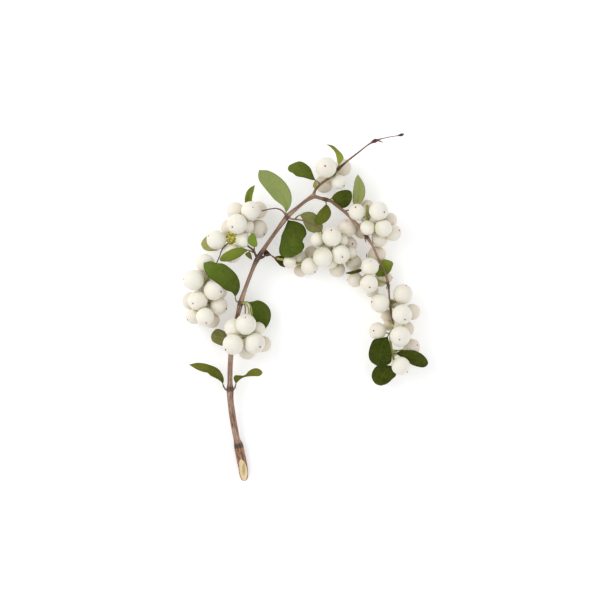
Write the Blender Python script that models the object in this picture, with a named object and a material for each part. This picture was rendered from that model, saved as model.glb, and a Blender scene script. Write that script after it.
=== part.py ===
"""Snowberry branch, cut and laid down on a flat surface.

A woody stem rises from its slanted cut end, forks, and carries eight bunches of white berries
and twenty-six leaves. All lengths below are in millimetres. +X points right, +Y runs from the
cut end towards the twig tips, +Z is up, and the branch rests on z = 0.
"""

import math
import random
from collections import namedtuple

import bmesh
import bpy
from mathutils import Matrix, Vector

MM = 0.001
GAP = 0.3                     # clearance between two pieces that meet

# Woody stem: route points as (x, y, z, diameter)
MAIN_STEM = [
    (-39.3, -113.0, 2.7, 5.9), (-40.0, -105.0, 2.8, 6.0), (-41.0, -100.0, 3.0, 6.3),
    (-42.0, -95.0, 3.3, 6.2), (-43.0, -90.0, 3.9, 6.0), (-44.1, -86.0, 4.4, 4.2),
    (-45.3, -80.0, 5.2, 4.3), (-47.0, -70.0, 6.6, 4.3), (-48.2, -60.0, 7.9, 4.1),
    (-48.4, -53.0, 8.9, 4.7), (-48.5, -49.0, 9.4, 3.4), (-48.4, -40.0, 10.6, 3.4),
    (-47.9, -31.0, 11.6, 3.4), (-47.0, -18.0, 12.6, 3.0), (-43.4, -5.0, 13.4, 2.9),
    (-41.6, 2.5, 14.0, 3.6), (-38.5, 12.0, 14.5, 2.6), (-33.6, 25.0, 15.0, 2.6),
    (-30.5, 31.5, 15.3, 3.4), (-25.0, 39.9, 15.6, 2.6), (-18.3, 49.4, 16.0, 2.5),
    (-11.5, 58.5, 16.3, 3.4), (-4.5, 64.8, 16.5, 2.4), (1.5, 69.6, 16.6, 2.5),
    (6.2, 72.4, 16.6, 3.8),
]
RIGHT_BRANCH = [
    (5.2, 72.4, 16.6, 2.8), (10.0, 70.9, 16.6, 2.2), (13.5, 70.0, 16.5, 2.8),
    (17.0, 69.0, 16.4, 2.1), (20.0, 66.8, 16.2, 2.1), (26.3, 61.7, 15.8, 2.0),
    (30.3, 57.8, 15.5, 2.0), (36.3, 51.7, 15.0, 1.7), (40.2, 46.1, 14.6, 2.5),
    (43.9, 40.6, 14.2, 1.6), (46.4, 35.1, 13.8, 1.5), (49.0, 29.5, 13.5, 1.4),
    (52.5, 22.0, 13.2, 1.3), (54.3, 15.0, 13.0, 2.0), (55.0, 8.0, 12.9, 1.1),
    (55.5, 0.0, 12.8, 1.1), (57.2, -9.0, 12.6, 1.1), (58.2, -11.5, 12.5, 1.1),
]
UPPER_TWIG = [
    (5.8, 72.6, 16.6, 2.4), (7.0, 76.0, 17.0, 1.7), (10.0, 79.5, 17.5, 1.7),
    (14.5, 83.0, 18.0, 1.7), (18.5, 86.8, 18.3, 1.7), (22.0, 90.0, 18.6, 2.4),
    (25.0, 92.5, 18.8, 1.5), (28.5, 95.5, 19.0, 1.3), (35.0, 100.5, 19.4, 1.0),
    (40.0, 104.5, 19.8, 0.9), (43.0, 106.5, 20.0, 1.2), (45.3, 107.8, 20.1, 2.5),
    (47.6, 108.5, 20.2, 1.5), (50.0, 109.3, 20.2, 0.7), (55.0, 110.4, 20.4, 0.6),
    (60.0, 111.2, 20.6, 0.6), (62.3, 111.7, 20.7, 1.8), (64.0, 112.2, 20.8, 1.3),
]
SIDE_STALKS = [
    # spurs of the lowest node
    [(-48.4, -53.0, 8.9, 2.0), (-51.0, -53.6, 9.2, 1.7), (-52.3, -52.0, 9.6, 1.4)],
    [(-48.4, -53.0, 8.9, 1.8), (-46.3, -53.8, 9.3, 1.5), (-45.2, -52.2, 9.7, 1.3)],
    # stalk that carries bunch C
    [(-41.6, 2.5, 14.0, 1.5), (-39.2, 2.0, 15.2, 1.2), (-38.4, -1.0, 15.6, 1.1), (-38.5, -4.5, 15.4, 1.1)],
    # side twig behind bunch A that hangs bunch B
    [(-30.5, 31.5, 15.3, 1.8), (-32.0, 34.5, 15.5, 1.6), (-33.2, 37.0, 15.4, 1.6), (-38.0, 40.5, 13.0, 1.4),
     (-44.0, 42.6, 11.8, 1.3), (-49.5, 41.6, 11.8, 1.3), (-53.3, 38.0, 12.4, 1.2), (-55.2, 33.0, 13.2, 1.1),
     (-57.0, 29.0, 13.6, 1.1)],
    # spur to the left berries of bunch F
    [(-30.5, 31.5, 15.3, 1.8), (-27.0, 32.4, 15.8, 1.5), (-24.8, 34.2, 16.0, 1.3), (-22.0, 33.8, 16.0, 1.1),
     (-20.0, 32.8, 15.8, 1.1), (-18.0, 31.8, 15.4, 1.1)],
    # bare stalk that ends over bunch A
    [(-11.5, 58.5, 16.3, 1.6), (-13.4, 61.6, 16.3, 1.3), (-15.5, 63.3, 16.7, 1.2), (-18.0, 64.1, 17.1, 1.1),
     (-21.0, 64.0, 17.6, 1.1), (-25.0, 63.2, 18.0, 1.1), (-27.5, 62.5, 18.2, 1.3)],
    # stalk that carries bunch F
    [(-11.5, 58.5, 16.3, 1.6), (-8.0, 57.3, 17.4, 1.3), (-4.0, 56.8, 18.2, 1.2), (0.0, 56.0, 18.7, 1.1),
     (5.0, 53.8, 19.2, 1.1), (9.0, 51.5, 19.2, 1.1), (11.2, 48.8, 18.4, 1.4)],
    # spur behind the first berry of bunch E
    [(25.5, 62.0, 15.8, 1.3), (27.8, 62.9, 15.2, 1.2), (30.5, 63.0, 12.6, 1.1), (33.2, 63.2, 11.4, 1.1)],
    # stalk that carries bunch E, with a stub on the other side
    [(40.0, 46.0, 14.6, 1.5), (40.6, 48.6, 14.2, 1.3)],
    [(40.0, 46.0, 14.6, 1.5), (39.4, 44.3, 14.5, 1.2), (39.9, 42.2, 14.4, 0.8)],
    # joint of the first berry right of bunch H's stem
    [(55.3, 3.2, 12.8, 1.1), (57.4, 2.6, 13.2, 1.3), (59.2, 4.0, 13.2, 1.0)],
    # small stub by the swollen bud
    [(47.0, 108.4, 20.2, 1.2), (50.6, 107.0, 20.2, 0.8)],
]
STEM_STEP = 8.0               # spacing of the rings along a stem
STALK_STEP = 6.0
MAIN_SIDES = 8
BRANCH_SIDES = 6
STALK_SIDES = 5
CUT_TOP = Vector((0.0, -98.6, 6.2))        # the slanted cut starts here on the upper side
CUT_FOOT = Vector((0.0, -112.6, 0.3))      # and leaves the lower side here
FLOOR_PRESS = 0.35            # how much of a lowest berry is flattened by the surface

# Leaves: stalk from the stem to the blade's base as (x, y, z); edges as (x, y) from base to tip,
# left and right as seen from above when looking towards the tip; heights of the midrib at base,
# middle and tip; rise of the left and right edge above the midrib
Leaf = namedtuple("Leaf", "stalk left right tip heights rise")
LEAVES = [
    Leaf([(-52.5, -51.9, 9.8), (-53.0, -50.2, 10.3)],
         [(-54.5, -48.2), (-57.0, -46.5), (-61.0, -44.5), (-63.0, -42.6), (-66.0, -42.0), (-70.0, -40.5),
          (-73.0, -38.7)],
         [(-52.4, -47.0), (-53.5, -43.5), (-56.0, -40.0), (-60.0, -38.0), (-65.0, -36.5), (-70.0, -36.1)],
         (-75.3, -37.3), (10.8, 13.0, 9.0), (-1.5, -1.0)),
    Leaf([(-45.3, -52.4, 9.7), (-44.6, -49.8, 10.4)],
         [(-46.1, -46.6), (-45.3, -44.2), (-42.5, -44.2), (-40.0, -44.4), (-38.2, -43.6), (-36.2, -41.4),
          (-33.5, -39.9), (-31.0, -39.6), (-28.7, -40.5)],
         [(-43.2, -48.2), (-41.4, -46.6), (-39.2, -45.5), (-36.5, -45.0), (-33.0, -44.8), (-29.8, -44.8),
          (-28.0, -43.8)],
         (-27.2, -42.3), (11.0, 12.0, 9.5), (0.6, -0.8)),
    Leaf([(-47.6, -20.0, 12.5), (-50.4, -20.0, 10.6)],
         [(-51.0, -23.0), (-53.0, -25.0), (-57.0, -23.9), (-60.0, -22.0)],
         [(-50.8, -17.0), (-52.5, -15.3), (-57.0, -14.0), (-60.0, -16.5)],
         (-60.9, -19.2), (10.4, 9.0, 8.5), (0.4, 0.4)),
    Leaf([(-41.0, 2.7, 14.2), (-38.6, 3.5, 14.4), (-36.6, 3.4, 14.6)],
         [(-33.4, 3.9), (-30.0, 4.6), (-26.3, 3.1), (-23.3, 0.2), (-21.8, -4.0), (-22.2, -8.2),
          (-23.8, -11.8)],
         [(-35.6, 0.5), (-35.0, -4.0), (-34.0, -9.0), (-32.0, -12.5), (-29.5, -14.6)],
         (-26.5, -15.2), (14.6, 11.0, 7.8), (-0.5, 0.3)),
    Leaf([(-42.0, 2.9, 14.2), (-44.4, 4.2, 15.4), (-44.9, 6.6, 16.6)],
         [(-47.1, 9.7), (-51.1, 11.2), (-56.0, 15.2), (-60.8, 18.7), (-63.8, 22.2), (-65.3, 26.0)],
         [(-42.4, 10.7), (-41.9, 15.7), (-44.1, 21.2), (-48.6, 25.7), (-53.0, 28.4), (-57.0, 28.6),
          (-61.0, 29.9)],
         (-65.3, 28.9), (17.2, 25.5, 23.0), (-1.0, -3.5)),
    Leaf([(-52.6, 39.0, 12.1), (-54.6, 39.6, 10.8)],
         [(-56.2, 37.2), (-59.0, 36.7), (-63.0, 36.7), (-66.0, 38.2)],
         [(-55.0, 43.0), (-58.0, 46.0), (-61.0, 47.0), (-63.5, 46.3), (-66.3, 43.8)],
         (-67.4, 41.0), (10.5, 8.2, 8.0), (0.5, 0.5)),
    Leaf([(-33.4, 35.8, 15.6), (-34.8, 36.5, 17.6), (-36.2, 37.1, 18.8)],
         [(-39.0, 35.0), (-42.0, 32.6), (-46.0, 30.6), (-50.0, 29.7), (-53.7, 29.8)],
         [(-41.0, 38.8), (-46.0, 38.0), (-50.0, 36.3), (-53.5, 33.8)],
         (-55.2, 31.0), (19.4, 23.5, 19.0), (-1.4, -1.0)),
    Leaf([(-32.6, 37.6, 15.6), (-32.6, 39.0, 18.8)],
         [(-35.4, 40.4), (-36.6, 42.6), (-36.3, 45.2), (-34.8, 47.3)],
         [(-30.8, 39.6), (-30.5, 41.5), (-31.0, 43.6), (-31.4, 45.8)],
         (-33.0, 48.2), (20.0, 23.0, 22.5), (-0.5, -0.7)),
    Leaf([(-32.6, 35.5, 15.0), (-34.2, 36.3, 13.5), (-36.0, 36.4, 12.8)],
         [(-34.8, 34.8), (-34.2, 32.6)],
         [(-38.6, 34.6), (-36.6, 32.2)],
         (-34.0, 30.8), (12.6, 12.4, 12.0), (0.0, 0.3)),
    Leaf([(-36.5, 60.5, 11.6), (-36.6, 64.0, 11.0)],
         [(-38.6, 67.5), (-38.7, 71.5), (-37.5, 75.3), (-35.3, 77.8)],
         [(-34.4, 67.0), (-34.2, 70.0), (-33.7, 73.0), (-32.9, 76.0)],
         (-32.2, 79.5), (11.0, 12.0, 13.0), (0.5, 0.8)),
    Leaf([(-11.6, 59.0, 17.0), (-12.1, 61.4, 18.4)],
         [(-14.0, 65.4), (-19.3, 69.6), (-22.2, 73.0), (-26.0, 77.5), (-29.3, 82.0), (-30.1, 86.0)],
         [(-10.8, 62.8), (-9.0, 66.0), (-8.3, 70.0), (-8.9, 74.5), (-11.6, 79.7), (-16.3, 84.6),
          (-23.0, 88.5)],
         (-29.4, 89.1), (19.0, 21.5, 19.0), (1.2, 1.5)),
    Leaf([(-11.2, 57.8, 15.2), (-10.7, 56.6, 14.6)],
         [(-5.5, 55.8), (-1.6, 54.0), (0.4, 51.5), (1.4, 47.5), (-0.6, 44.5), (-1.4, 42.8), (0.0, 40.2),
          (-0.8, 37.5), (-3.2, 35.0)],
         [(-11.6, 54.5), (-13.0, 51.0), (-14.8, 47.0), (-15.5, 43.0), (-16.5, 38.0), (-16.0, 34.5),
          (-13.6, 32.6)],
         (-8.0, 32.3), (14.6, 16.6, 19.5), (-1.2, -0.8)),
    Leaf([(-6.2, 57.2, 17.2), (-4.8, 58.8, 16.2), (-3.2, 60.0, 15.8)],
         [(0.0, 61.7), (4.0, 62.0), (7.5, 60.3), (10.5, 56.5), (12.0, 52.5)],
         [(-1.6, 57.6), (-0.5, 54.4), (1.3, 50.8), (4.0, 49.0), (8.0, 48.2)],
         (11.3, 49.3), (15.6, 14.8, 14.0), (0.3, 0.3)),
    Leaf([(13.6, 69.6, 16.8), (14.1, 67.2, 18.0)],
         [(16.0, 65.0), (17.3, 61.8), (16.6, 58.5), (14.2, 55.6), (11.2, 54.0)],
         [(12.3, 65.3), (9.5, 62.4), (7.4, 59.0), (6.5, 55.5)],
         (8.0, 53.6), (18.2, 18.6, 17.0), (0.6, -0.6)),
    Leaf([(16.6, 69.2, 16.3), (17.4, 70.8, 15.0)],
         [(19.0, 73.2), (22.0, 75.3), (26.0, 76.3), (29.3, 75.9), (30.7, 74.4)],
         [(19.5, 68.5), (22.0, 66.0), (25.2, 64.5), (28.3, 65.9), (30.3, 68.8)],
         (31.0, 71.6), (14.6, 13.0, 14.0), (0.8, -0.8)),
    Leaf([(33.2, 63.4, 11.4), (33.8, 65.2, 11.2)],
         [(31.6, 67.5), (31.3, 71.0), (31.5, 75.0), (32.1, 80.0), (33.0, 83.5)],
         [(36.0, 67.0), (38.0, 69.5), (39.2, 72.5), (39.5, 76.0), (39.0, 79.0), (37.2, 82.8)],
         (34.6, 86.4), (11.2, 12.8, 16.0), (0.4, 0.8)),
    Leaf([(9.6, 79.0, 17.4), (9.2, 80.9, 17.0), (7.2, 82.3, 17.5)],
         [(4.0, 82.8), (0.0, 84.0), (-5.0, 85.0), (-7.5, 87.0), (-10.0, 88.2)],
         [(5.6, 86.0), (4.0, 90.0), (1.0, 93.0), (-3.0, 94.7), (-7.0, 93.6), (-10.0, 92.0)],
         (-10.9, 90.0), (17.6, 20.0, 17.0), (-0.8, -1.2)),
    Leaf([(7.3, 76.4, 17.2), (6.6, 77.3, 18.6)],
         [(5.4, 78.3), (5.7, 80.2)],
         [(8.0, 78.6), (8.5, 80.3)],
         (6.7, 82.1), (18.8, 20.0, 19.6), (0.4, 0.4)),
    Leaf([(22.0, 90.3, 18.8), (22.2, 92.0, 19.6)],
         [(21.4, 94.4), (20.8, 97.0), (19.8, 100.3), (17.2, 103.4)],
         [(24.4, 94.6), (25.4, 96.8), (24.2, 99.5), (21.6, 102.2), (18.4, 104.8)],
         (14.2, 105.6), (19.8, 22.0, 21.0), (0.8, -0.8)),
    Leaf([(48.4, 30.6, 13.4), (50.0, 30.2, 11.6)],
         [(52.0, 31.2), (55.0, 30.6), (57.6, 29.0), (57.0, 26.0), (55.8, 23.2)],
         [(48.6, 27.5), (46.8, 24.5), (45.9, 21.8), (48.5, 20.0)],
         (52.5, 20.2), (11.2, 10.4, 10.3), (0.3, 0.3)),
    Leaf([(40.3, 21.6, 12.6), (38.6, 23.4, 14.6), (37.2, 24.0, 15.4)],
         [(36.0, 22.7), (33.0, 21.9), (30.0, 21.4)],
         [(36.0, 25.0), (33.5, 24.3), (30.0, 23.4)],
         (26.3, 22.2), (15.6, 17.6, 17.0), (-1.8, 1.8)),
    Leaf([(56.0, -16.0, 13.0), (54.6, -17.8, 16.0), (54.0, -19.0, 17.2)],
         [(54.8, -22.0), (56.0, -27.0), (56.6, -32.0), (56.0, -35.8), (52.5, -37.8)],
         [(51.0, -19.5), (47.5, -20.2), (44.8, -20.9), (43.0, -24.0), (41.7, -28.5), (41.7, -32.2),
          (43.2, -35.4)],
         (47.5, -38.3), (17.6, 20.5, 17.6), (-1.0, -1.2)),
    Leaf([(57.8, -35.0, 12.6), (56.8, -38.0, 12.4)],
         [(58.4, -40.5), (59.6, -44.0), (57.0, -46.8), (53.8, -49.7)],
         [(52.0, -37.6), (47.0, -38.2), (44.2, -41.8), (43.8, -46.0), (46.2, -49.8)],
         (49.8, -51.1), (12.2, 11.0, 6.5), (0.4, -0.6)),
    Leaf([(57.3, -30.2, 12.8), (59.4, -30.2, 13.8)],
         [(62.0, -28.2), (66.0, -27.7), (71.0, -28.0), (75.0, -29.5), (78.2, -32.0), (80.0, -34.6)],
         [(62.3, -32.0), (65.6, -34.0), (69.2, -37.0), (73.0, -38.5), (76.8, -39.1), (79.3, -38.2)],
         (80.4, -36.4), (14.2, 15.0, 11.0), (-0.6, -0.6)),
    Leaf([(-20.8, 33.2, 15.5), (-20.0, 32.3, 13.8)],
         [(-17.5, 33.4), (-14.0, 33.3), (-11.5, 31.0), (-10.8, 28.5)],
         [(-19.0, 30.6), (-17.3, 28.6), (-15.6, 26.9)],
         (-12.8, 25.9), (13.4, 10.8, 8.0), (0.2, 0.2)),
    Leaf([(-27.8, 32.6, 15.0), (-26.6, 33.2, 13.4)],
         [(-26.4, 35.4), (-25.5, 37.4), (-24.2, 37.0)],
         [(-24.6, 33.0), (-23.0, 33.4)],
         (-21.6, 34.2), (13.2, 13.0, 13.2), (-0.3, 0.3)),
]
BLADE_THICKNESS = 0.8
ROW_SPACING = 3.0             # about how far the cross rows of a blade lie apart
FEWEST_ROWS = 4
MOST_ROWS = 10
EDGE_POINTS = 41              # points read along each edge, of which the rows use some
BASE_STEP = 4                 # how many of them lie where the stalk opens into the blade
BASE_SHARE = 0.12             # where the first cross row lies, as a share of the cosine spacing
TIP_WIDTH = 0.8
STALK_WIDTH = 1.0
CURVE_PIECES = 12             # straight pieces between two given points of a smooth edge
CREASE = math.radians(50)     # faces that meet at a wider angle keep a sharp edge

# Berries: height of a berry's middle at the start, before neighbours push it up or down
FRONT = 20.5
MIDDLE = 14.5
BACK = 8.0

# Bunches: routes of the green rachis as (x, y, z); berries as (x, y, diameter, layer, (x, y) of
# the calyx where it faces up); how many more berries fill the underside
Bunch = namedtuple("Bunch", "routes berries hidden")
BUNCHES = {
    "a": Bunch(
        [[(-42.0, 43.5, 12.0), (-43.0, 48.0, 12.5), (-43.5, 54.0, 13.0), (-41.0, 59.5, 12.5),
          (-35.5, 61.5, 12.0)],
         [(-43.0, 48.0, 12.5), (-50.0, 46.0, 12.5), (-54.0, 44.5, 13.0)]],
        [(-44.6, 62.3, 12.0, MIDDLE, None), (-35.0, 62.6, 12.4, FRONT, (-33.3, 64.8)),
         (-29.8, 63.3, 11.2, BACK, None), (-43.7, 54.0, 13.2, FRONT, (-46.9, 51.8)),
         (-49.0, 51.7, 10.8, BACK, None), (-57.2, 43.7, 12.5, MIDDLE, (-62.3, 46.4)),
         (-40.1, 43.7, 10.2, FRONT, None), (-30.1, 51.0, 12.4, MIDDLE, (-25.9, 47.4)),
         (-47.0, 35.0, 12.0, MIDDLE, (-45.7, 28.9)), (-37.3, 52.5, 9.0, MIDDLE, None)],
        4),
    "b": Bunch(
        [[(-57.2, 28.6, 13.6), (-61.0, 22.0, 13.5), (-64.5, 14.0, 13.0), (-65.0, 4.0, 12.5),
          (-65.5, -4.0, 12.0)]],
        [(-64.5, 28.5, 12.4, MIDDLE, None), (-72.0, 17.8, 13.4, FRONT, (-78.6, 18.3)),
         (-66.0, 20.0, 12.0, BACK, None), (-58.8, 11.2, 13.5, FRONT, (-53.7, 10.0)),
         (-55.5, 10.5, 10.5, BACK, None), (-69.2, 4.4, 12.8, FRONT, (-72.4, 2.4)),
         (-74.0, 4.2, 11.5, BACK, None), (-55.9, 1.0, 12.0, MIDDLE, (-50.5, -1.0)),
         (-64.4, -6.1, 11.6, FRONT, (-63.5, -10.3)), (-72.0, -6.0, 10.0, MIDDLE, (-76.0, -8.2)),
         (-60.3, -8.5, 10.5, BACK, None), (-65.8, 12.5, 9.5, MIDDLE, None)],
        4),
    "c": Bunch(
        [[(-38.5, -4.2, 15.3), (-38.8, -12.0, 14.0), (-38.5, -20.0, 13.0), (-36.0, -25.0, 12.5)]],
        [(-46.2, -13.1, 12.0, MIDDLE, None), (-38.0, -11.0, 13.6, FRONT, (-38.3, -6.3)),
         (-46.2, -24.0, 13.6, FRONT, (-51.3, -27.6)), (-32.4, -23.2, 13.6, FRONT, (-28.5, -25.7)),
         (-27.0, -24.0, 10.7, BACK, None), (-30.2, -14.1, 9.2, MIDDLE, None),
         (-37.3, -28.4, 11.6, BACK, None), (-40.8, -18.2, 8.4, MIDDLE, None)],
        3),
    "d": Bunch(
        [[(21.6, 88.6, 17.0), (18.5, 85.5, 15.0), (15.0, 83.0, 14.4)]],
        [(13.9, 90.6, 13.6, FRONT, (13.3, 91.4)), (24.8, 91.0, 11.2, BACK, None),
         (22.3, 81.3, 9.6, MIDDLE, (25.8, 78.6)), (12.7, 80.2, 11.8, BACK, None),
         (18.4, 85.2, 8.0, MIDDLE, None)],
        1),
    "e": Bunch(
        [[(40.8, 49.6, 14.2), (41.0, 53.0, 14.0), (41.3, 59.0, 14.0), (44.5, 62.5, 14.0),
          (49.5, 61.0, 13.5), (53.0, 57.0, 13.0)],
         [(41.0, 53.0, 14.0), (47.0, 52.0, 13.5), (53.0, 50.0, 13.0)]],
        [(33.9, 61.8, 10.8, FRONT, (33.0, 65.0)), (41.0, 65.3, 9.5, BACK, None),
         (48.0, 62.3, 12.5, FRONT, (51.8, 61.5)), (55.6, 56.8, 9.6, MIDDLE, None),
         (57.5, 48.3, 10.6, MIDDLE, (61.6, 50.0)), (51.0, 51.2, 11.0, FRONT, None),
         (40.9, 51.7, 10.0, FRONT, None), (49.0, 44.4, 10.8, BACK, None),
         (37.8, 50.0, 10.8, BACK, None), (40.6, 58.6, 8.6, MIDDLE, None), (46.0, 56.0, 8.0, MIDDLE, None)],
        3),
    "f": Bunch(
        [[(11.4, 48.4, 18.2), (14.5, 43.0, 15.0), (17.0, 39.0, 13.5), (19.5, 34.0, 13.0),
          (21.5, 27.0, 13.0)],
         [(14.5, 43.0, 15.0), (9.0, 37.0, 13.5), (3.0, 30.5, 12.5), (-5.0, 28.5, 12.5),
          (-11.5, 30.4, 14.0), (-17.6, 31.6, 15.2)],
         [(17.0, 39.0, 13.5), (23.0, 43.0, 13.5), (27.5, 47.0, 13.5)],
         [(19.5, 34.0, 13.0), (25.5, 33.0, 13.0), (30.0, 31.0, 13.0)]],
        [(17.7, 45.7, 12.8, FRONT, (17.3, 50.1)), (27.7, 51.5, 12.0, BACK, (27.5, 56.2)),
         (8.3, 43.9, 9.6, MIDDLE, None), (29.0, 40.8, 10.6, MIDDLE, (31.5, 41.3)),
         (11.9, 32.5, 12.8, FRONT, None), (23.4, 34.4, 12.4, FRONT, (24.5, 32.4)),
         (21.3, 24.6, 10.4, MIDDLE, None), (32.0, 29.0, 10.8, MIDDLE, None),
         (4.6, 35.2, 9.6, BACK, None), (3.3, 26.5, 11.3, MIDDLE, (6.9, 22.8)),
         (-2.5, 24.1, 9.0, BACK, None), (-9.7, 29.5, 8.4, MIDDLE, None),
         (-3.8, 32.5, 10.0, MIDDLE, (-6.0, 29.0)), (13.8, 39.5, 8.6, MIDDLE, None),
         (24.2, 43.4, 8.6, MIDDLE, None), (17.3, 29.4, 8.6, MIDDLE, None), (30.2, 35.4, 7.6, MIDDLE, None)],
        3),
    "g": Bunch(
        [[(54.0, 15.4, 12.8), (50.0, 16.5, 12.0), (45.5, 18.5, 12.0), (41.0, 21.0, 12.0),
          (37.0, 18.6, 11.5)],
         [(41.0, 21.0, 12.0), (43.0, 27.0, 11.0), (45.5, 32.0, 9.0)]],
        [(47.2, 34.1, 11.8, BACK, None), (42.4, 26.4, 11.6, FRONT, (43.0, 30.0)),
         (41.8, 15.2, 11.8, FRONT, (42.2, 12.8)), (43.8, 10.9, 9.2, BACK, None),
         (32.9, 17.8, 9.8, MIDDLE, (28.0, 17.9)), (49.4, 17.8, 8.8, BACK, None),
         (53.6, 19.3, 7.6, BACK, (57.2, 19.3))],
        3),
    "h": Bunch(
        [[(55.8, 5.0, 10.4), (56.3, -3.0, 10.2), (57.6, -9.0, 10.4), (57.0, -14.0, 12.0),
          (55.8, -20.0, 13.0), (56.4, -26.0, 13.0), (57.4, -31.0, 13.2), (58.4, -36.0, 13.4)]],
        [(49.0, 2.8, 12.6, MIDDLE, (43.4, 3.6)), (63.9, 8.6, 12.6, MIDDLE, (66.0, 14.2)),
         (63.2, -4.7, 13.0, FRONT, (65.2, -8.2)), (70.2, -3.0, 10.6, BACK, None),
         (62.0, -18.8, 13.5, FRONT, (61.5, -21.0)), (66.2, -14.0, 10.3, BACK, None),
         (47.4, -15.5, 11.4, MIDDLE, (44.7, -15.2)), (54.0, -5.6, 8.6, BACK, None),
         (69.7, -26.0, 10.8, BACK, (73.4, -24.5)), (62.4, -38.0, 12.0, FRONT, (66.8, -42.0)),
         (54.6, -11.8, 7.0, BACK, None), (60.0, -11.6, 7.6, BACK, None), (59.2, 2.4, 7.0, BACK, None),
         (58.4, -29.6, 5.0, BACK, None)],
        3),
}
RACHIS_THICK = 2.6
RACHIS_STEP = 7.0
RACHIS_SIDES = 5
PEDICEL_THICK = 1.8
PEDICEL_SIDES = 4
FACET_SWELL = 1.025           # brings a faceted ball to a round berry's mean size
TURN = 1.1                    # each berry is turned this much further round its axis (radians)
CALYX_RISE = 1.05             # how far the calyx stands out, in radii
PRESS = 0.2                   # how far two berries of one bunch press into each other
HOLD = 0.8                    # a berry that reaches this far into another needs no pedicel
BUNCH_SPACE = 0.6             # room kept between berries of two bunches
WOOD_SPACE = 0.5              # room kept between a berry and the wood
LEAF_SPACE = 1.0              # room kept between a berry and a leaf's middle layer
SETTLE_ROUNDS = 160
NEARBY = 9.0                  # wood and leaves further away than this do not push a berry
BERRY_PUSH = 0.4              # share of an overlap of two berries that one round takes away
OTHER_PUSH = 0.15             # the same for a berry against wood or leaves
LEAST_RISE = 0.3              # a push always moves a berry up or down by this share
HIDDEN_SIZE = (8.5, 10.5)
HIDDEN_SEED = 7
HIDDEN_TRIES = 4000
HIDDEN_SPREAD = 8.0           # how far to each side of a seen berry a place is tried
HIDDEN_DEPTH = 7.0            # how high above the surface it is tried
HIDDEN_REACH = 30.0           # wood and leaves further from the bunch are left out of the trial
RIM_POINTS = 10               # points round a berry that must all be hidden from above
HIDDEN_PRESS = 1.2            # how far an underside berry may press into a neighbour
COVER_SLACK = 0.4             # an underside berry stays this far inside what covers it
KEPT_FACES = 0.72             # share of a fused bunch's faces that are kept
TALLEST = 31.0                # no berry reaches above this

COLOURS = {
    "berry_skin": ((0.80, 0.80, 0.70), 0.42),
    "bark": ((0.17, 0.075, 0.045), 0.62),
    "leaf_green": ((0.075, 0.15, 0.022), 0.45),
    "leaf_underside": ((0.25, 0.33, 0.11), 0.6),
}
UNDERSIDE_UP = {3, 6, 9, 11, 13, 16, 18}   # leaves that show their pale underside to the sky


def clear_scene():
    for old in list(bpy.data.objects):
        bpy.data.objects.remove(old, do_unlink=True)


def material(name):
    """The Principled material of that name, made once."""
    if name in bpy.data.materials:
        return bpy.data.materials[name]
    colour, roughness = COLOURS[name]
    made = bpy.data.materials.new(name)
    made.use_nodes = True
    shader = made.node_tree.nodes["Principled BSDF"]
    shader.inputs["Base Color"].default_value = (*colour, 1.0)
    shader.inputs["Roughness"].default_value = roughness
    shader.inputs["Metallic"].default_value = 0.0
    made.diffuse_color = (*colour, 1.0)
    return made


def new_piece(name, vertices, faces):
    """An object from vertices in millimetres, triangulated, with its faces pointing out."""
    mesh = bpy.data.meshes.new(name)
    mesh.from_pydata([Vector(vertex) * MM for vertex in vertices], [], faces)
    work = bmesh.new()
    work.from_mesh(mesh)
    bmesh.ops.triangulate(work, faces=work.faces[:])
    bmesh.ops.recalc_face_normals(work, faces=work.faces[:])
    work.to_mesh(mesh)
    work.free()
    piece = bpy.data.objects.new(name, mesh)
    bpy.context.scene.collection.objects.link(piece)
    return piece


def finish_piece(piece, material_name):
    """Smooth shading and the piece's own material."""
    piece.data.shade_smooth()
    piece.data.set_sharp_from_angle(angle=CREASE)
    piece.data.materials.clear()
    piece.data.materials.append(material(material_name))


def between(before, start, end, after, t):
    """The point at share t of the way from start to end, on a smooth curve through all four."""
    return 0.5 * (2 * start + (end - before) * t
                  + (2 * before - 5 * start + 4 * end - after) * t * t
                  + (3 * start - before - 3 * end + after) * t ** 3)


def curve_through(points, count):
    """count points at even spacing on a smooth curve through the given points."""
    points = [Vector(point) for point in points]
    ends = [2 * points[0] - points[1]] + points + [2 * points[-1] - points[-2]]
    fine = []
    for before, start, end, after in zip(ends, ends[1:], ends[2:], ends[3:]):
        for k in range(CURVE_PIECES):
            fine.append(between(before, start, end, after, k / CURVE_PIECES))
    fine.append(points[-1])
    lengths = [0.0]
    for start, end in zip(fine, fine[1:]):
        lengths.append(lengths[-1] + (end - start).length)
    result = []
    k = 0
    for step in range(count):
        goal = lengths[-1] * step / (count - 1)
        while k < len(fine) - 2 and lengths[k + 1] < goal:
            k += 1
        share = (goal - lengths[k]) / max(lengths[k + 1] - lengths[k], 1e-9)
        result.append(fine[k].lerp(fine[k + 1], min(max(share, 0.0), 1.0)))
    return result


def route_length(points):
    return sum((Vector(end[:3]) - Vector(start[:3])).length for start, end in zip(points, points[1:]))


def stem_samples(route, step):
    """Points (x, y, z, diameter) along a route, that keep every swelling of the route."""
    result = []
    for k in range(len(route) - 1):
        count = max(2, round(route_length(route[k:k + 2]) / step) + 1)
        before = Vector(route[max(k - 1, 0)])
        start = Vector(route[k])
        end = Vector(route[k + 1])
        after = Vector(route[min(k + 2, len(route) - 1)])
        for j in range(count - 1):
            result.append(between(before, start, end, after, j / (count - 1)))
    result.append(Vector(route[-1]))
    return result


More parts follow.
